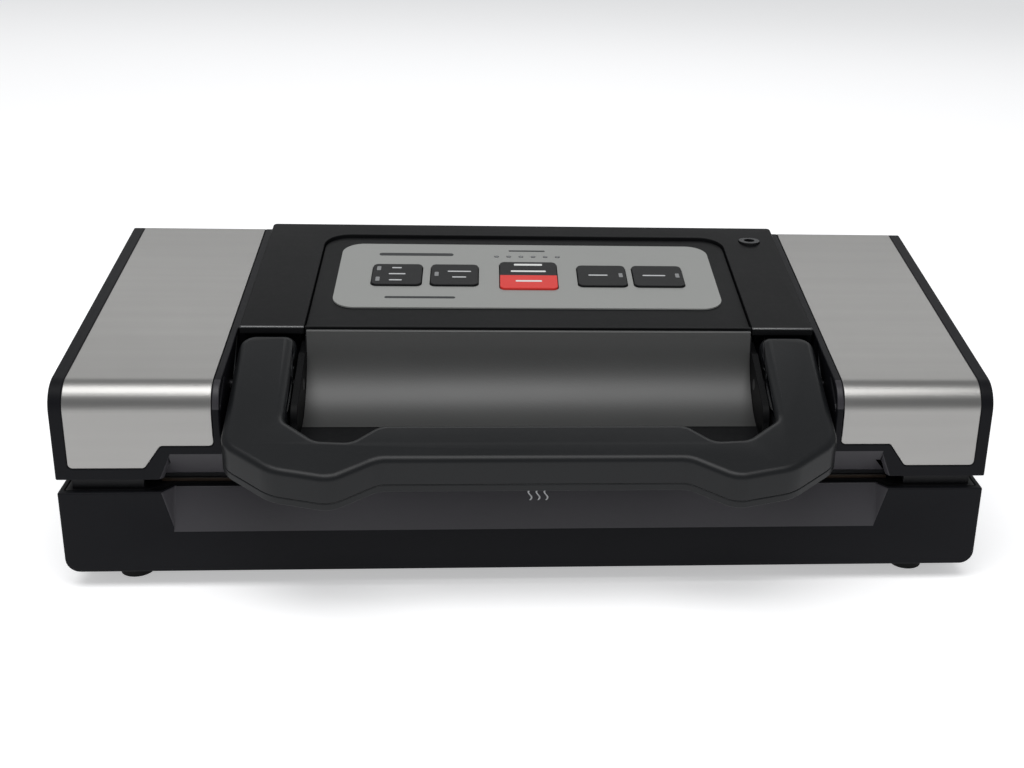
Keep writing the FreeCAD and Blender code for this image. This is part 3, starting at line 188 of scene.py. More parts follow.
def brush_group() -> bpy.types.NodeTree:
    """Straight brushing along the machine's width: line height and faint long streaks.

    Returns:
        The group.
    """
    maker = GroupMaker("brushed_lines", {"Lines": 1.0},
                       {"Height": "NodeSocketFloat", "Streak": "NodeSocketFloat"})
    fine = maker.noise(maker.stretched((18.0, 5200.0, 5200.0)), maker.source.outputs["Lines"], 2.0, 0.7)
    medium = maker.noise(maker.stretched((9.0, 1500.0, 1500.0)), maker.source.outputs["Lines"], 2.0, 0.6)
    streak = maker.noise(maker.stretched((5.0, 160.0, 160.0)), 1.0, 3.0, 0.5)
    maker.link(maker.math("ADD", maker.math("MULTIPLY", fine, 0.6), maker.math("MULTIPLY", medium, 0.4)),
               maker.sink.inputs["Height"])
    maker.link(streak, maker.sink.inputs["Streak"])
    return maker.tree


def dust_group() -> bpy.types.NodeTree:
    """Thin dust on faces that look up, broken by noise.

    Returns:
        The group.
    """
    maker = GroupMaker("settled_dust", {"Amount": 0.1}, {"Mask": "NodeSocketFloat"})
    normal = maker.node("ShaderNodeNewGeometry").outputs["Normal"]
    split = maker.node("ShaderNodeSeparateXYZ")
    maker.link(normal, split.inputs[0])
    up = maker.math("MAXIMUM", maker.math("SUBTRACT", split.outputs["Z"], 0.55), 0.0)
    speck = maker.math("POWER", maker.noise(maker.place, 420.0, 5.0, 0.7), 4.0)
    maker.link(maker.math("MULTIPLY", maker.math("MULTIPLY", up, speck), maker.source.outputs["Amount"]),
               maker.sink.inputs["Mask"])
    return maker.tree


def smudge_group() -> bpy.types.NodeTree:
    """Uneven sheen left by handling and wiping.

    Returns:
        The group.
    """
    maker = GroupMaker("wiped_sheen", {"Scale": 14.0}, {"Mask": "NodeSocketFloat"})
    broad = maker.noise(maker.place, maker.source.outputs["Scale"], 3.0, 0.55)
    wiped = maker.noise(maker.stretched((1.0, 5.0, 2.0)), 60.0, 2.0, 0.5)
    maker.link(maker.math("ADD", maker.math("MULTIPLY", broad, 0.7), maker.math("MULTIPLY", wiped, 0.3)),
               maker.sink.inputs["Mask"])
    return maker.tree


def weave_group() -> bpy.types.NodeTree:
    """Plain weave of coated glass cloth.

    Returns:
        The group.
    """
    maker = GroupMaker("plain_weave", {"Threads": 1400.0}, {"Height": "NodeSocketFloat"})
    split = maker.node("ShaderNodeSeparateXYZ")
    maker.link(maker.place, split.inputs[0])
    threads = maker.source.outputs["Threads"]
    warp = maker.math("SINE", maker.math("MULTIPLY", split.outputs["X"], threads), 0.0)
    weft = maker.math("SINE", maker.math("MULTIPLY", split.outputs["Y"], threads), 0.0)
    maker.link(maker.math("MULTIPLY", warp, weft), maker.sink.inputs["Height"])
    return maker.tree


@dataclass
class Groups:
    """The shader groups that every finish shares."""

    grain: bpy.types.NodeTree = field(default_factory=grain_group)
    brush: bpy.types.NodeTree = field(default_factory=brush_group)
    dust: bpy.types.NodeTree = field(default_factory=dust_group)
    smudge: bpy.types.NodeTree = field(default_factory=smudge_group)
    weave: bpy.types.NodeTree = field(default_factory=weave_group)


# ---------------------------------------------------------------- finishes

@dataclass(frozen=True)
class Finish:
    """One material: what it is made of and how its surface was treated."""

    name: str
    colour: Colour
    kind: Kind = Kind.GRAINED
    roughness: float = 0.45
    spread: float = 0.12
    metallic: float = 0.0
    cells: float = 2600.0
    depth: float = 0.25
    tint: float = 0.12
    dust: float = 0.0
    coat: float = 0.0
    specular: float = 0.5
    glow: float = 0.0

    def build(self, groups: Groups) -> bpy.types.Material:
        """Make the node material.

        Args:
            groups: the shared shader groups.

        Returns:
            The new material.
        """
        material = bpy.data.materials.new(self.name)
        material.use_nodes = True
        tree = material.node_tree
        shader = tree.nodes["Principled BSDF"]
        shader.inputs["Metallic"].default_value = self.metallic
        shader.inputs["Specular IOR Level"].default_value = self.specular
        shader.inputs["Coat Weight"].default_value = self.coat
        shader.inputs["Coat Roughness"].default_value = COAT_ROUGHNESS
        if self.glow:
            shader.inputs["Emission Color"].default_value = (*self.colour, 1.0)
            shader.inputs["Emission Strength"].default_value = self.glow
        smudge = self.place(tree, groups.smudge)
        height, shade = self.relief(tree, groups)
        self.shade_colour(tree, groups, shader, shade)
        self.shade_roughness(tree, shader, smudge.outputs["Mask"])
        bump = tree.nodes.new("ShaderNodeBump")
        bump.inputs["Strength"].default_value = self.depth
        bump.inputs["Distance"].default_value = RELIEF_HEIGHT
        tree.links.new(height, bump.inputs["Height"])
        tree.links.new(bump.outputs["Normal"], shader.inputs["Normal"])
        return material

    @staticmethod
    def place(tree: bpy.types.NodeTree, group: bpy.types.NodeTree) -> bpy.types.Node:
        """Put a shared group into a material.

        Args:
            tree: the material's node tree.
            group: the group.

        Returns:
            The group's node.
        """
        node = tree.nodes.new("ShaderNodeGroup")
        node.node_tree = group
        return node

    def relief(self, tree: bpy.types.NodeTree, groups: Groups) -> tuple[Socket, Socket]:
        """Surface relief for this kind of finish.

        Args:
            tree: the material's node tree.
            groups: the shared shader groups.

        Returns:
            The height socket and a slow shade socket.
        """
        if self.kind is Kind.BRUSHED:
            lines = self.place(tree, groups.brush)
            return lines.outputs["Height"], lines.outputs["Streak"]
        grain = self.place(tree, groups.grain)
        grain.inputs["Cells"].default_value = self.cells
        if self.kind is Kind.WOVEN:
            weave = self.place(tree, groups.weave)
            return weave.outputs["Height"], grain.outputs["Mottle"]
        return grain.outputs["Height"], grain.outputs["Mottle"]

    def shade_colour(self, tree: bpy.types.NodeTree, groups: Groups, shader: bpy.types.Node,
                     shade: Socket) -> None:
        """Vary the base colour slowly and lay dust on it.

        Args:
            tree: the material's node tree.
            groups: the shared shader groups.
            shader: the material's shader node.
            shade: the slow shade that mixes the colour's two ends.
        """
        low = tuple(channel * (1.0 - self.tint) for channel in self.colour)
        high = tuple(min(1.0, channel * (1.0 + self.tint)) for channel in self.colour)
        ramp = tree.nodes.new("ShaderNodeMix")
        ramp.data_type = "RGBA"
        ramp.inputs["A"].default_value = (*low, 1.0)
        ramp.inputs["B"].default_value = (*high, 1.0)
        tree.links.new(shade, ramp.inputs["Factor"])
        result = ramp.outputs["Result"]
        if self.dust > 0.0:
            dust = self.place(tree, groups.dust)
            dust.inputs["Amount"].default_value = self.dust
            over = tree.nodes.new("ShaderNodeMix")
            over.data_type = "RGBA"
            over.inputs["B"].default_value = (*DUST_COLOUR, 1.0)
            tree.links.new(dust.outputs["Mask"], over.inputs["Factor"])
            tree.links.new(result, over.inputs["A"])
            result = over.outputs["Result"]
        tree.links.new(result, shader.inputs["Base Color"])

    def shade_roughness(self, tree: bpy.types.NodeTree, shader: bpy.types.Node, mask: Socket) -> None:
        """Spread the roughness round its middle value.

        Args:
            tree: the material's node tree.
            shader: the material's shader node.
            mask: the sheen that sets where it is rough.
        """
        span = tree.nodes.new("ShaderNodeMapRange")
        span.inputs["To Min"].default_value = max(0.02, self.roughness - self.spread / 2)
        span.inputs["To Max"].default_value = min(1.0, self.roughness + self.spread / 2)
        tree.links.new(mask, span.inputs["Value"])
        tree.links.new(span.outputs["Result"], shader.inputs["Roughness"])


HOUSING = Finish("housing_black", (0.0052, 0.0054, 0.0070), roughness=0.46, depth=0.3, cells=2400,
                 dust=0.1, specular=0.1)
# painted sheen: the bag slot's oblique faces are the housing's own plastic; this lighter colour stands in
# for the reflection they catch
RECESS_SHEEN = Finish("recess_painted_sheen", (0.031, 0.0295, 0.034), roughness=0.38, depth=0.22, cells=2400,
                specular=0.28)
LID_TOP = Finish("cover_black", (0.0056, 0.0058, 0.0064), roughness=0.46, depth=0.35, cells=2400,
                 dust=0.08, specular=0.07)
PANEL = Finish("panel_charcoal", (0.0062, 0.0065, 0.007), roughness=0.48, depth=0.5, cells=1900,
               dust=0.08, specular=0.07)
COVE = Finish("cove_satin", (0.027, 0.0275, 0.0265), roughness=0.46, spread=0.06, depth=0.4, cells=1700,
              specular=0.75)
# painted highlight: the cover's own plastic, made lighter and glossier to stand in for the light line along
# its front edge
LIP_HIGHLIGHT = Finish("lip_painted_highlight", (0.05, 0.051, 0.053), roughness=0.24, spread=0.04, depth=0.05, cells=2400,
             specular=0.9)
# painted shade: the cheeks are moulded with the panel plate; this darker colour stands in for the shade in
# the slot between arm and cove
CHEEK_SHADE = Finish("cheek_painted_shade", (0.0035, 0.0036, 0.004), roughness=0.5, depth=0.2, specular=0.08)
GRIP = Finish("grip_charcoal", (0.0085, 0.0092, 0.0102), roughness=0.34, spread=0.08, depth=0.14,
              cells=3000, dust=0.05, specular=0.24)
DECK = Finish("deck_black", (0.012, 0.0122, 0.0135), roughness=0.4, depth=0.2, dust=0.1, specular=0.2)
STEEL = Finish("brushed_cladding", (0.325, 0.32, 0.311), Kind.BRUSHED, roughness=0.34, spread=0.08,
               metallic=1.0, depth=0.45, tint=0.06)
# painted highlight: a pale colour on the steel sheet's inner and lower edges stands in for the bright line
# that the bevel catches
EDGE_HIGHLIGHT = Finish("steel_edge_painted_highlight", (0.78, 0.77, 0.74), Kind.BRUSHED, roughness=0.3, spread=0.05, metallic=0.5,
                  depth=0.1, tint=0.03)
ZINC = Finish("zinc_hardware", (0.5, 0.51, 0.52), Kind.BRUSHED, roughness=0.32, metallic=1.0, depth=0.15)
DARK_STEEL = Finish("blackened_steel", (0.03, 0.03, 0.032), Kind.BRUSHED, roughness=0.35, metallic=0.9,
                    depth=0.15)
BRASS = Finish("plated_brass", (0.62, 0.47, 0.22), Kind.BRUSHED, roughness=0.25, metallic=1.0, depth=0.1)
RUBBER = Finish("foot_rubber", (0.01, 0.01, 0.01), roughness=0.78, depth=0.5, cells=1500, dust=0.4,
                specular=0.2)
FOAM = Finish("gasket_foam", (0.014, 0.0145, 0.016), roughness=0.88, depth=0.9, cells=3800,
              specular=0.15)
OVERLAY = Finish("silver_film", (0.285, 0.29, 0.28), roughness=0.46, spread=0.06, metallic=0.1,
                 depth=0.08, cells=5200, tint=0.03, specular=0.3)
KEY = Finish("key_dark", (0.0085, 0.009, 0.0095), roughness=0.42, depth=0.15, cells=4200, specular=0.12)
KEY_RED = Finish("key_red", (0.68, 0.035, 0.028), roughness=0.42, depth=0.12, cells=4200, tint=0.04,
                 specular=0.2)
INK_WHITE = Finish("ink_white", (0.72, 0.73, 0.72), roughness=0.5, depth=0.05, tint=0.02, specular=0.2)
INK_GREY = Finish("ink_grey", (0.03, 0.032, 0.034), roughness=0.5, depth=0.05, tint=0.03, specular=0.2)
INK_PALE = Finish("ink_pale", (0.5, 0.51, 0.52), roughness=0.5, depth=0.05, tint=0.03, specular=0.2)
LENS = Finish("status_lens", (0.12, 0.125, 0.13), roughness=0.22, depth=0.05, coat=0.3)
WINDOW = Finish("key_window", (0.13, 0.135, 0.14), roughness=0.3, depth=0.05, coat=0.2)
TAPE = Finish("coated_cloth", (0.03, 0.026, 0.022), Kind.WOVEN, roughness=0.46, depth=0.5, tint=0.08,
              specular=0.3)
PHENOLIC = Finish("bar_phenolic", (0.05, 0.033, 0.022), roughness=0.5, depth=0.3, specular=0.3)
ALLOY = Finish("element_alloy", (0.42, 0.4, 0.37), Kind.BRUSHED, roughness=0.35, metallic=1.0,
               depth=0.15)
DRIP = Finish("drip_grey", (0.25, 0.26, 0.275), roughness=0.3, depth=0.08, coat=0.2)
INLET = Finish("inlet_black", (0.008, 0.008, 0.009), roughness=0.2, depth=0.06, coat=0.3)
BOARD = Finish("solder_mask", (0.015, 0.12, 0.05), roughness=0.3, depth=0.1, coat=0.3)
IRON = Finish("varnished_iron", (0.09, 0.085, 0.08), Kind.BRUSHED, roughness=0.5, metallic=0.6,
              depth=0.3)
SWITCH = Finish("switch_black", (0.02, 0.02, 0.022), roughness=0.35, depth=0.1)
BRACKET = Finish("bracket_paint", (0.018, 0.018, 0.019), roughness=0.4, depth=0.2, metallic=0.2)
SLIDER = Finish("slider_red", (0.5, 0.03, 0.025), roughness=0.3, depth=0.1, coat=0.3)
CAN = Finish("motor_can", (0.5, 0.51, 0.52), Kind.BRUSHED, roughness=0.28, metallic=1.0, depth=0.12)
NYLON = Finish("glass_nylon", (0.03, 0.031, 0.034), roughness=0.5, depth=0.4, specular=0.3)
VALVE = Finish("valve_nylon", (0.5, 0.49, 0.46), roughness=0.45, depth=0.2)
FLOOR = Finish("studio_floor", (0.88, 0.88, 0.885), roughness=0.85, depth=0.02, tint=0.004, cells=300,
               specular=0.1, glow=0.5)


class Wardrobe:
    """Builds each finish once and hands it to pieces."""

    def __init__(self) -> None:
        """Make the shared groups and an empty store."""
        self.groups = Groups()
        self.made: dict[str, bpy.types.Material] = {}

    def get(self, finish: Finish) -> bpy.types.Material:
        """The material of a finish, built the first time it is asked for.

        Args:
            finish: the finish.

        Returns:
            Its material.
        """
        if finish.name not in self.made:
            self.made[finish.name] = finish.build(self.groups)
        return self.made[finish.name]

    def dress(self, piece: bpy.types.Object, finish: Finish) -> None:
        """Give a piece one finish all over.

        Args:
            piece: the object.
            finish: its finish.
        """
        material = self.get(finish)
        if not piece.material_slots:
            piece.data.materials.append(material)
        for slot in piece.material_slots:
            slot.material = material


# ---------------------------------------------------------------- mesh tools

def new_piece(name: str, mesh: bpy.types.Mesh, body: str) -> bpy.types.Object:
    """Put a mesh into the scene as a piece of the machine.

    Args:
        name: the piece's name.
        mesh: its mesh.
        body: the frame body that it moves with.

    Returns:
        The new object.
    """
    piece = bpy.data.objects.new(name, mesh)
    bpy.context.scene.collection.objects.link(piece)
    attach(piece, body)
    LOG.info("piece %s on %s", name, body)
    return piece


def smooth_by_angle(mesh: bpy.types.Mesh, degrees: float = 32.0) -> None:
    """Shade smooth, but keep edges sharper than an angle.

    Args:
        mesh: the mesh to shade.
        degrees: edges that turn by more than this stay sharp.
    """
    work = bmesh.new()
    work.from_mesh(mesh)
    limit = math.radians(degrees)
    for edge in work.edges:
        edge.smooth = len(edge.link_faces) == 2 and edge.calc_face_angle(0.0) < limit
    for face in work.faces:
        face.smooth = True
    work.to_mesh(mesh)
    work.free()


def softened(node: str, name: str, body: str, radius: float,
             segments: int = 2) -> bpy.types.Object:
    """A copy of a frame node with small rounded edges, standing for that node.

    Args:
        node: the frame node.
        name: the new piece's name.
        body: the body it rides on.
        radius: edge radius in metres.
        segments: facets across each rounded edge.

    Returns:
        The new piece.
    """
    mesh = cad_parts[node].data.copy()
    mesh.name = name
    work = bmesh.new()
    work.from_mesh(mesh)
    bmesh.ops.remove_doubles(work, verts=work.verts, dist=2e-6)
    bmesh.ops.dissolve_limit(work, angle_limit=math.radians(0.4), verts=work.verts, edges=work.edges)
    work.to_mesh(mesh)
    work.free()
    if "custom_normal" in mesh.attributes:
        mesh.attributes.remove(mesh.attributes["custom_normal"])
    smooth_by_angle(mesh)
    piece = new_piece(name, mesh, body)
    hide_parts(node)
    bevel = piece.modifiers.new("rounded_edges", "BEVEL")
    bevel.width = radius
    bevel.segments = segments
    bevel.limit_method = "ANGLE"
    bevel.angle_limit = math.radians(38.0)
    bevel.use_clamp_overlap = False
    bevel.miter_outer = "MITER_ARC"
    bevel.harden_normals = True
    return piece


def rounded_outline(width: float, depth: float, radius: float, steps: int = 6) -> list[tuple[float, float]]:
    """Corner-rounded rectangle round the origin.

    Args:
        width: size along the first axis.
        depth: size along the second axis.
        radius: corner radius.
        steps: facets in each corner.

    Returns:
        Its points, anticlockwise.
    """
    radius = min(radius, width / 2 - 1e-5, depth / 2 - 1e-5)
    points = []
    for quarter, (sx, sy) in enumerate(((1, 1), (-1, 1), (-1, -1), (1, -1))):
        centre = Vector((sx * (width / 2 - radius), sy * (depth / 2 - radius)))
        for step in range(steps + 1):
            angle = math.radians(90 * quarter + 90 * step / steps)
            points.append((centre.x + radius * math.cos(angle), centre.y + radius * math.sin(angle)))
    return points


@dataclass(frozen=True)
class Slope:
    """The tilted plane of the control panel: height at y = 0 and rise per metre of depth."""

    level: float
    rise: float

    def point(self, x: float, y: float) -> Vector:
        """Point on the plane."""
        return Vector((x, y, self.level + self.rise * y))

    def normal(self) -> Vector:
        """Unit normal of the plane."""
        return Vector((0.0, -self.rise, 1.0)).normalized()

    @staticmethod
    def of_node(node: str, thickness: float) -> "Slope":
        """The upper plane of a sloping plate of even thickness.

        Args:
            node: the plate's frame node.
            thickness: its thickness.

        Returns:
            The plane.
        """
        low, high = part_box(node)
        rise = (high[2] - low[2] - thickness) / (high[1] - low[1])
        return Slope(high[2] - rise * high[1], rise)


def slab_mesh(name: str, loops: list[list[Vector]], lift: Vector, crown: float = 0.0) -> bpy.types.Mesh:
    """Thin plates, one for each outline, with a chamfered upper rim.

    Args:
        name: mesh name.
        loops: outlines on the base surface.
        lift: vector from the lower to the upper face.
        crown: width of the chamfer round the upper face.

    Returns:
        The mesh.
    """
    work = bmesh.new()
    for loop in loops:
        middle = sum(loop, Vector()) / len(loop)
        rings = [loop, [point + lift * 0.7 for point in loop]]
        rings.append([point + lift + (middle - point).normalized() * crown for point in loop])
        rows = [[work.verts.new(point) for point in ring] for ring in rings]
        for low, high in zip(rows, rows[1:]):
            for i in range(len(low)):
                j = (i + 1) % len(low)
                work.faces.new((low[i], low[j], high[j], high[i]))
        work.faces.new(rows[-1])
        work.faces.new(list(reversed(rows[0])))
    bmesh.ops.recalc_face_normals(work, faces=work.faces)
    mesh = bpy.data.meshes.new(name)
    work.to_mesh(mesh)
    work.free()
    smooth_by_angle(mesh, 40.0)
    return mesh


def lathe_mesh(name: str, profile: list[tuple[float, float]], centres: list[Vector], axis: Vector,
               steps: int = 40) -> bpy.types.Mesh:
    """Turned shapes, one at each centre.

    Args:
        name: mesh name.
        profile: radius and height pairs from one end to the other.
        centres: foot of each shape.
        axis: unit direction of the heights.
        steps: facets round.

    Returns:
        The mesh.
    """
    side = axis.orthogonal().normalized()
    across = axis.cross(side)
    work = bmesh.new()
    for centre in centres:
        rows = []
        for radius, height in profile:
            row = []
            for step in range(steps):
                angle = math.tau * step / steps
                spoke = side * math.cos(angle) + across * math.sin(angle)
                row.append(work.verts.new(centre + axis * height + spoke * radius))
            rows.append(row)
        for low, high in zip(rows, rows[1:]):
            for i in range(steps):
                j = (i + 1) % steps
                work.faces.new((low[i], low[j], high[j], high[i]))
        work.faces.new(rows[-1])
        work.faces.new(list(reversed(rows[0])))
    bmesh.ops.recalc_face_normals(work, faces=work.faces)
    mesh = bpy.data.meshes.new(name)
    work.to_mesh(mesh)
    work.free()
    smooth_by_angle(mesh, 35.0)
    return mesh


# ---------------------------------------------------------------- sub-assemblies

@dataclass
class Housing:
    """Black mouldings of base and lid, with the steel cladding of the pods."""

    wardrobe: Wardrobe
    edge: float = 0.7 * MM
    sheet_edge: float = 0.35 * MM
    slot_depth: float = 9.0 * MM
    lip_depth: float = 1.6 * MM
    slot_half: float = 160.0 * MM

    def build(self) -> None:
        """Make every moulding and sheet."""
        for node, body, slot, finish, edge in (
            ("base_tray", "base", "housing_plastic", HOUSING, self.edge),
            ("lid_frame", "lid", "housing_plastic", HOUSING, self.edge),
            ("centre_cover", "lid", "housing_plastic", LID_TOP, self.sheet_edge),
            ("steel_panel_left", "lid", "steel_cladding", STEEL, self.sheet_edge),
            ("steel_panel_right", "lid", "steel_cladding", STEEL, self.sheet_edge),
        ):
            piece = softened(node, node + "_shell", body, edge)
            self.wardrobe.dress(piece, finish)
            # painted sheen on the oblique faces of the bag slot
            if node in ("base_tray", "lid_frame"):
                self.paint_recess_sheen(piece)
            # painted highlight along the cover's front lip
            if node == "centre_cover":
                self.paint_lip_highlight(piece)
            # painted highlight along the steel sheets' edges
            if finish is STEEL:
                self.paint_edge_highlight(piece)

    def paint_edge_highlight(self, piece: bpy.types.Object) -> None:
        """Paint a highlight on the sheet's edge along its inner side and its lower end: a pale, glossier
        colour stands in for the bright line that the bevel catches.

        Args:
            piece: the shell of one steel panel.
        """
        piece.data.materials.append(self.wardrobe.get(EDGE_HIGHLIGHT))
        middle = sum(vertex.co.x for vertex in piece.data.vertices) / len(piece.data.vertices)
        toward = -1.0 if middle > 0.0 else 1.0
        for polygon in piece.data.polygons:
            inward = polygon.normal.x * toward
            side = 0.2 < inward < 0.95
            below = -0.95 < polygon.normal.z < -0.2 and polygon.normal.y < -0.2
            if side or below:
                polygon.material_index = len(piece.data.materials) - 1

    def paint_lip_highlight(self, piece: bpy.types.Object) -> None:
        """Paint a highlight on the rolled edge along the front of the cover: a lighter, glossier colour on
        the same plastic stands in for the light line it catches.

        Args:
            piece: the cover's shell.
        """
        piece.data.materials.append(self.wardrobe.get(LIP_HIGHLIGHT))
        front = min(vertex.co.y for vertex in piece.data.vertices)
        for polygon in piece.data.polygons:
            rolled = polygon.normal.y < -0.12 and polygon.normal.z > 0.12
            if rolled and polygon.center.y < front + self.lip_depth:
                polygon.material_index = len(piece.data.materials) - 1

    def paint_recess_sheen(self, piece: bpy.types.Object) -> None:
        """Paint a sheen on the oblique faces of the bag slot: a lighter, glossier colour on the same
        plastic stands in for the reflection they catch.

        Args:
            piece: the shell whose front carries half of the slot.
        """
        piece.data.materials.append(self.wardrobe.get(RECESS_SHEEN))
        front = min(vertex.co.y for vertex in piece.data.vertices)
        for polygon in piece.data.polygons:
            near = polygon.center.y < front + self.slot_depth
            oblique = polygon.normal.y < -0.2 and abs(polygon.normal.z) > 0.2
            inside = abs(polygon.center.x) < self.slot_half
            if near and oblique and inside:
                polygon.material_index = len(piece.data.materials) - 1


@dataclass
class Panel:
    """Sunk panel plate, the cove that curves down from it and the cheeks that carry the handle's pins."""

    wardrobe: Wardrobe
    edge: float = 0.3 * MM
    plate_depth: float = 3.2 * MM
    cheek_from: float = 96.7 * MM
    cove_end: float = 96.6 * MM
    skin: float = 0.25 * MM
    cove_radius: float = 33.5 * MM
    cove_centre_z: float = 100.5 * MM
    cove_centre_y: float = 8.5 * MM
    cove_from: float = -79.0
    cove_sweep: float = 77.0
    cove_steps: int = 56
    lip_radius: float = 0.9 * MM
    lip_sweep: float = 150.0
    lip_steps: int = 8
    film_thickness: float = 0.6 * MM

    def build(self) -> None:
        """Make the plate with its cheeks, then lay the satin skin over the cove."""
        piece = softened("control_panel", "control_panel_shell", "lid", self.edge)
        self.wardrobe.dress(piece, PANEL)
        # painted shade: the cheeks' faces in the slot get a darker colour than the plate they are moulded
        # with
        piece.data.materials.append(self.wardrobe.get(CHEEK_SHADE))
        for polygon in piece.data.polygons:
            plate = polygon.center.z > self.plate_at(polygon.center.y)
            if abs(polygon.center.x) > self.cheek_from and not plate:
                polygon.material_index = 1
        self.wardrobe.dress(self.cove(), COVE)

    def plate_at(self, y: float) -> float:
        """Height just under the plate.

        Args:
            y: place along the depth.

        Returns:
            The height.
        """
        film = Slope.of_node("panel_overlay", self.film_thickness)
        return film.level + film.rise * y - self.plate_depth

    def cove(self) -> bpy.types.Object:
        """Thin curved skin of the cove with a rolled upper lip.

        Returns:
            The skin's piece.
        """
        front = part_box("base_tray")[0][1]
        centre = Vector((0.0, front + self.cove_centre_y, self.cove_centre_z))
        radius = self.cove_radius - self.skin
        line = []
        for step in range(self.cove_steps + 1):
            angle = math.radians(self.cove_from + self.cove_sweep * step / self.cove_steps)
            line.append(centre + Vector((0.0, math.cos(angle), math.sin(angle))) * radius)
        lip = centre + Vector((0.0, radius + self.lip_radius, 0.0))
        for step in range(1, self.lip_steps + 1):
            angle = math.radians(180.0 - self.lip_sweep * step / self.lip_steps)
            line.append(lip + Vector((0.0, math.cos(angle), math.sin(angle))) * self.lip_radius)
        work = bmesh.new()
        sides = [Vector((share * self.cove_end, 0.0, 0.0)) for share in (-1.0, -0.33, 0.33, 1.0)]
        rows = [[work.verts.new(point + side) for side in sides] for point in line]
        for low, high in zip(rows, rows[1:]):
            for i in range(3):
                face = work.faces.new((low[i], low[i + 1], high[i + 1], high[i]))
                face.smooth = True
        mesh = bpy.data.meshes.new("cove_skin")
        work.to_mesh(mesh)
        work.free()
        return new_piece("cove_skin", mesh, "lid")


@dataclass
class Handle:
    """Two shells of the locking handle."""

    wardrobe: Wardrobe
    edge: float = 0.6 * MM
    low_edge: float = 0.45 * MM

    def build(self) -> None:
        """Make the shells."""
        for node, edge in (("handle_grip", self.edge), ("handle_underside", self.low_edge)):
            shell = softened(node, node + "_shell", "handle", edge, 3)
            self.wardrobe.dress(shell, GRIP)


# bars and windows of the dark keys: middle x and y, then a bar's length, as shares of the key's size
KEY_BARS = {
    "food_key": ((0.0, 0.0, 0.34), (-0.02, 0.3, 0.2), (-0.02, -0.3, 0.26)),
    "manual_seal_key": ((0.1, 0.14, 0.5), (0.1, -0.14, 0.3)),
    "pulse_key": ((-0.08, 0.0, 0.4),),
    "canister_key": ((-0.08, 0.0, 0.46),),
}
KEY_WINDOWS = {
    "food_key": ((-0.38, 0.26), (-0.38, -0.26)),
    "manual_seal_key": ((-0.38, 0.0),),
    "pulse_key": ((0.39, 0.0),),
    "canister_key": ((0.39, 0.0),),
}


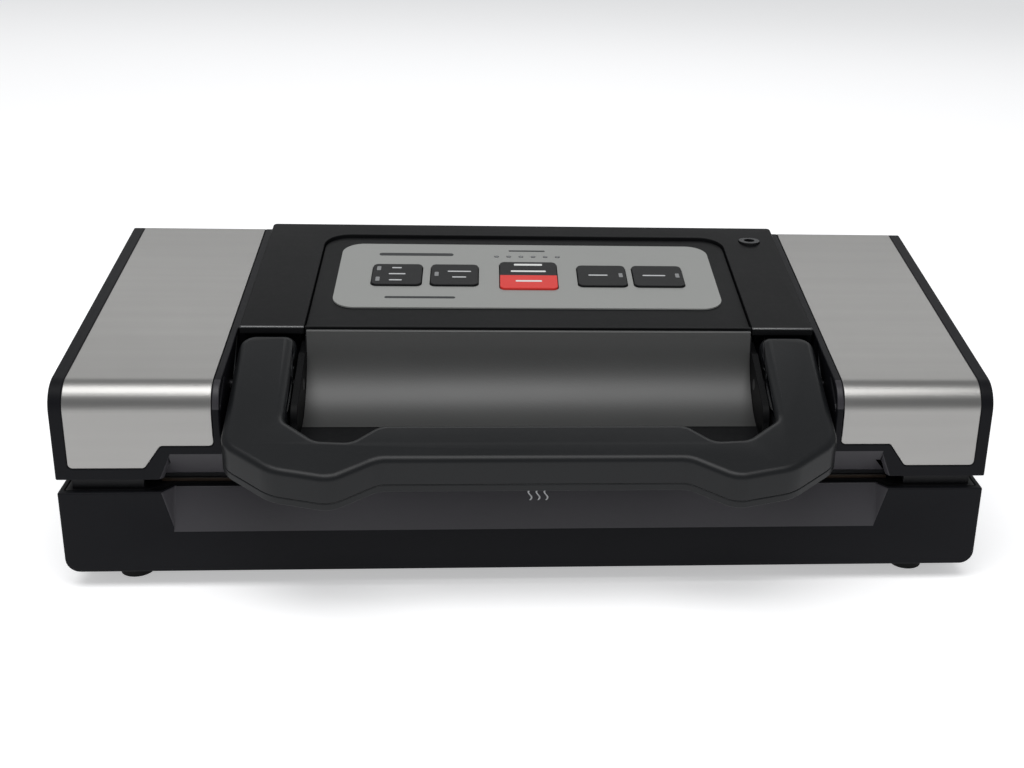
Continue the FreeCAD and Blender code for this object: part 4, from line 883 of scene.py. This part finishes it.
@dataclass
class Controls:
    """Keys, their print, the status row and the film's marks."""

    wardrobe: Wardrobe
    print_lift: float = 0.06 * MM
    print_chamfer: float = 0.02 * MM
    window: tuple[float, float] = (1.9 * MM, 4.4 * MM)
    window_corner: float = 0.5 * MM
    window_lift: float = 0.12 * MM
    key_edge: float = 0.35 * MM
    film_thickness: float = 0.6 * MM
    lens_count: int = 6
    lens_depth: float = 2.0 * MM
    lens_rise: float = 0.35 * MM
    lens_fill: float = 0.92

    def build(self) -> None:
        """Make all the panel's small pieces."""
        self.film = Slope.of_node("panel_overlay", self.film_thickness)
        for node in KEY_BARS:
            self.key(node)
        self.cancel_key()
        self.status_row()
        self.film_marks()

    def face(self, node: str) -> tuple[Slope, float, float, float, float]:
        """A key's upper plane, middle and size.

        Args:
            node: the key's frame node.

        Returns:
            Its plane, middle x, middle y, width and depth.
        """
        low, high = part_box(node)
        plane = Slope(high[2] - self.film.rise * high[1], self.film.rise)
        return plane, (low[0] + high[0]) / 2, (low[1] + high[1]) / 2, high[0] - low[0], high[1] - low[1]

    @staticmethod
    def patch(plane: Slope, x: float, y: float, width: float, depth: float, radius: float) -> list[Vector]:
        """Outline of a rounded mark on a plane."""
        return [plane.point(x + dx, y + dy) for dx, dy in rounded_outline(width, depth, radius)]

    def marks(self, name: str, body: str, loops: list[list[Vector]], finish: Finish,
              lift: float | None = None) -> None:
        """Print or inlay, as thin plates on their surface.

        Args:
            name: the piece's name.
            body: the body it rides on.
            loops: outlines of the plates.
            finish: their finish.
            lift: their thickness, or the print's own if none is given.
        """
        normal = self.film.normal()
        mesh = slab_mesh(name, loops, normal * (lift or self.print_lift), self.print_chamfer)
        self.wardrobe.dress(new_piece(name, mesh, body), finish)

    def key(self, node: str) -> None:
        """One dark key with bars in place of words and its indicator windows.

        Args:
            node: the key's frame node.
        """
        body = node.replace("_key", "_button")
        cap = softened(node, node + "_cap", body, self.key_edge, 3)
        self.wardrobe.dress(cap, KEY)
        plane, x, y, width, depth = self.face(node)
        loops = [self.patch(plane, x + dx * width, y + dy * depth, size * width, 1.15 * MM, 0.55 * MM)
                 for dx, dy, size in KEY_BARS[node]]
        self.marks(node + "_legend", body, loops, INK_PALE)
        wide, deep = self.window
        loops = [self.patch(plane, x + dx * width, y + dy * depth, wide, deep, self.window_corner)
                 for dx, dy in KEY_WINDOWS[node]]
        self.marks(node + "_windows", body, loops, WINDOW, self.window_lift)

    def cancel_key(self) -> None:
        """The large key: dark rear half with a white window, red front half."""
        node = "vacuum_cancel_key"
        body = "vacuum_cancel_button"
        cap = softened(node, node + "_cap", body, self.key_edge, 3)
        plane, x, y, width, depth = self.face(node)
        for finish in (KEY, KEY_RED):
            cap.data.materials.append(self.wardrobe.get(finish))
        if len(cap.data.materials) > 2:
            cap.data.materials.pop(index=0)
        self.split_colours(cap, y - 0.02 * depth)
        window = self.patch(plane, x, y + 0.38 * depth, 0.5 * width, self.window[0], self.window_corner)
        self.marks("cancel_key_window", body, [window], INK_WHITE, self.window_lift)
        self.marks("cancel_key_legend", body,
                   [self.patch(plane, x, y + 0.13 * depth, 0.62 * width, 1.6 * MM, 0.7 * MM),
                    self.patch(plane, x, y - 0.24 * depth, 0.46 * width, 1.6 * MM, 0.7 * MM)], INK_WHITE)

    @staticmethod
    def split_colours(cap: bpy.types.Object, line: float) -> None:
        """Cut a key across and colour its front half with its second material.

        Args:
            cap: the key.
            line: the y at which it is cut.
        """
        work = bmesh.new()
        work.from_mesh(cap.data)
        everything = work.verts[:] + work.edges[:] + work.faces[:]
        bmesh.ops.bisect_plane(work, geom=everything, plane_co=(0, line, 0), plane_no=(0, 1, 0))
        for face in work.faces:
            face.material_index = 1 if face.calc_center_median().y < line else 0
        work.to_mesh(cap.data)
        work.free()

    def status_row(self) -> None:
        """Domed lenses of the status lights."""
        low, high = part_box("status_lights")
        radius = (high[1] - low[1]) / 2
        pitch = (high[0] - low[0] - 2 * radius) / (self.lens_count - 1)
        y = (low[1] + high[1]) / 2
        normal = self.film.normal()
        centres = [self.film.point(low[0] + radius + i * pitch, y) - normal * self.lens_depth
                   for i in range(self.lens_count)]
        lens = radius * self.lens_fill
        profile = [(lens, 0.0), (lens, self.lens_depth)]
        profile += [(lens * math.cos(a), self.lens_depth + self.lens_rise * math.sin(a))
                    for a in (math.radians(d) for d in (20, 40, 60, 80))]
        mesh = lathe_mesh("status_lenses", profile, centres, normal, 20)
        piece = new_piece("status_lenses", mesh, "lid")
        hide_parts("status_lights")
        self.wardrobe.dress(piece, LENS)

    def film_marks(self) -> None:
        """Plain bars on the film where a machine carries its headings."""
        low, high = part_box("panel_overlay")
        width = high[0] - low[0]
        top = high[1]
        lens_y = sum(point[1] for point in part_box("status_lights")) / 2
        loops = [
            self.patch(self.film, low[0] + 0.2 * width, top - 12.0 * MM, 0.2 * width, 3.0 * MM, 1.4 * MM),
            self.patch(self.film, low[0] + 0.22 * width, low[1] + 10.0 * MM, 0.18 * width,
                       2.0 * MM, 0.9 * MM),
            self.patch(self.film, 0.0, lens_y + 6.6 * MM, 0.1 * width, 1.4 * MM, 0.6 * MM),
        ]
        self.marks("film_headings", "lid", loops, INK_GREY)


@dataclass
class BagSlotMark:
    """Heat pictogram on the sloping face under the bag slot: three rising waves."""

    wardrobe: Wardrobe
    height: float = 4.6 * MM
    pitch: float = 3.4 * MM
    sway: float = 0.7 * MM
    stroke: float = 0.35 * MM
    thickness: float = 0.05 * MM
    steps: int = 14
    lean: tuple[float, float, float] = (0.0, 7.0, 18.3)

    def build(self) -> None:
        """Make the waves as thin ribbons lying on the slope."""
        tray_low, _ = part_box("base_tray")
        foot = Vector((2.5 * MM, tray_low[1] + 3.9 * MM, 38.6 * MM))
        lean = Vector(self.lean).normalized()
        normal = Vector((0.0, -lean.z, lean.y))
        loops = []
        for wave in (-1, 0, 1):
            line = []
            for step in range(self.steps + 1):
                t = step / self.steps
                x = wave * self.pitch + self.sway * math.sin(math.tau * t)
                line.append(foot + Vector((x, 0.0, 0.0)) + lean * (t * self.height))
            side = Vector((self.stroke, 0.0, 0.0))
            loops.append([point - side for point in line] + [point + side for point in reversed(line)])
        mesh = self.ribbons(loops, normal * self.thickness)
        piece = new_piece("heat_pictogram", mesh, "base")
        self.wardrobe.dress(piece, INK_PALE)

    @staticmethod
    def ribbons(loops: list[list[Vector]], lift: Vector) -> bpy.types.Mesh:
        """Ribbon plates from paired edge points.

        Args:
            loops: outlines that run up one side of a ribbon and down the other.
            lift: half the thickness, as a vector.

        Returns:
            The mesh.
        """
        work = bmesh.new()
        for loop in loops:
            half = len(loop) // 2
            low = [work.verts.new(point - lift) for point in loop]
            high = [work.verts.new(point + lift) for point in loop]
            for i in range(half - 1):
                a, b, c, d = i, i + 1, 2 * half - 2 - i, 2 * half - 1 - i
                work.faces.new((high[a], high[b], high[c], high[d]))
                work.faces.new((low[d], low[c], low[b], low[a]))
            for i in range(len(loop)):
                j = (i + 1) % len(loop)
                work.faces.new((low[i], low[j], high[j], high[i]))
        bmesh.ops.recalc_face_normals(work, faces=work.faces)
        mesh = bpy.data.meshes.new("heat_pictogram")
        work.to_mesh(mesh)
        work.free()
        return mesh


@dataclass
class CarriedOver:
    """Frame nodes whose shape is right: they keep it and only take a finish."""

    wardrobe: Wardrobe

    def build(self) -> None:
        """Dress every remaining node."""
        for finish, nodes in (
            (DECK, ("base_deck", "roll_tray", "lid_tray", "cutter_rail")),
            (RUBBER, ("rubber_feet",)),
            (FOAM, ("lower_gasket", "upper_gasket", "pressure_strip", "pump_cushion")),
            (DARK_STEEL, ("handle_pins",)),
            (ZINC, ("hinge_pins", "latch_strikes", "base_screws", "lid_screws", "rail_screws",
                    "latch_pins", "cutter_blade")),
            (PHENOLIC, ("sealing_bar",)), (ALLOY, ("heating_element",)), (TAPE, ("seal_tape",)),
            (DRIP, ("drip_tray",)), (INLET, ("mains_inlet", "canister_port")), (BRASS, ("inlet_pins",)),
            (BOARD, ("power_board", "control_board")), (IRON, ("transformer",)),
            (SWITCH, ("lid_switch", "key_switches", "pressure_switch")), (BRACKET, ("hinge_brackets",)),
            (SLIDER, ("cutter_slider",)), (OVERLAY, ("panel_overlay",)), (CAN, ("pump_motor",)),
            (NYLON, ("pump_head", "handle_cams", "latch_hooks")), (VALVE, ("release_valve",)),
        ):
            for node in nodes:
                self.wardrobe.dress(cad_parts[node], finish)
                LOG.info("node %s in %s", node, finish.name)


# ---------------------------------------------------------------- studio

@dataclass
class Studio:
    """Pale floor, soft light and the camera."""

    wardrobe: Wardrobe
    eye: tuple[float, float, float] = (-0.019, -0.59605, 0.3079)
    turn: float = 0.0903
    pitch: float = 0.367
    roll: float = -0.0344
    focal: float = 49.27
    shift: tuple[float, float] = (-0.0918, -0.0195)

    def build(self) -> None:
        """Set up the whole studio."""
        self.floor()
        self.lights()
        self.camera()

    def floor(self) -> None:
        """Large floor that runs far back, lit from within like a light table."""
        work = bmesh.new()
        corners = ((-6, -3, 0), (6, -3, 0), (6, 9, 0), (-6, 9, 0))
        work.faces.new([work.verts.new(corner) for corner in corners])
        mesh = bpy.data.meshes.new("studio_floor")
        work.to_mesh(mesh)
        work.free()
        floor = bpy.data.objects.new("studio_floor", mesh)
        bpy.context.scene.collection.objects.link(floor)
        self.wardrobe.dress(floor, FLOOR)

    def lights(self) -> None:
        """Two softboxes and a dim, even surround."""
        world = bpy.data.worlds.new("surround")
        world.use_nodes = True
        background = world.node_tree.nodes["Background"]
        background.inputs["Color"].default_value = (0.96, 0.98, 1.0, 1.0)
        background.inputs["Strength"].default_value = 0.3
        bpy.context.scene.world = world
        for name, place, target, size, power in (
            ("key_softbox", (-0.1, -0.5, 1.3), (0.0, 0.0, 0.08), (1.4, 0.7), 13.0),
            ("rear_softbox", (0.1, 1.3, 1.15), (0.0, 0.0, 0.1), (2.2, 0.9), 5.5),
        ):
            lamp = bpy.data.lights.new(name, "AREA")
            lamp.shape = "RECTANGLE"
            lamp.size, lamp.size_y = size
            lamp.energy = power
            piece = bpy.data.objects.new(name, lamp)
            piece.location = place
            aim = Vector(target) - Vector(place)
            piece.rotation_euler = aim.to_track_quat("-Z", "Y").to_euler()
            bpy.context.scene.collection.objects.link(piece)

    def camera(self) -> None:
        """Camera a little left of the middle, looking down and to the right."""
        level = math.cos(self.pitch)
        forward = Vector((math.sin(self.turn) * level, math.cos(self.turn) * level, -math.sin(self.pitch)))
        right = Vector((math.cos(self.turn), -math.sin(self.turn), 0.0))
        down = forward.cross(right)
        c, s = math.cos(self.roll), math.sin(self.roll)
        right, down = right * c + down * s, down * c - right * s
        basis = Matrix((right, -down, -forward)).transposed().to_4x4()
        data = bpy.data.cameras.new("view")
        data.lens = self.focal
        data.sensor_width = 36.0
        data.shift_x, data.shift_y = self.shift
        data.clip_start = 0.01
        camera = bpy.data.objects.new("view", data)
        camera.matrix_world = Matrix.Translation(self.eye) @ basis
        bpy.context.scene.collection.objects.link(camera)
        bpy.context.scene.camera = camera


def main() -> None:
    """Build every sub-assembly in order."""
    logging.basicConfig(level=logging.INFO, format="%(name)s: %(message)s")
    bpy.context.scene.view_settings.view_transform = "Standard"
    wardrobe = Wardrobe()
    Studio(wardrobe).build()
    Housing(wardrobe).build()
    Panel(wardrobe).build()
    Handle(wardrobe).build()
    Controls(wardrobe).build()
    BagSlotMark(wardrobe).build()
    CarriedOver(wardrobe).build()


if __name__ == "__main__":
    main()
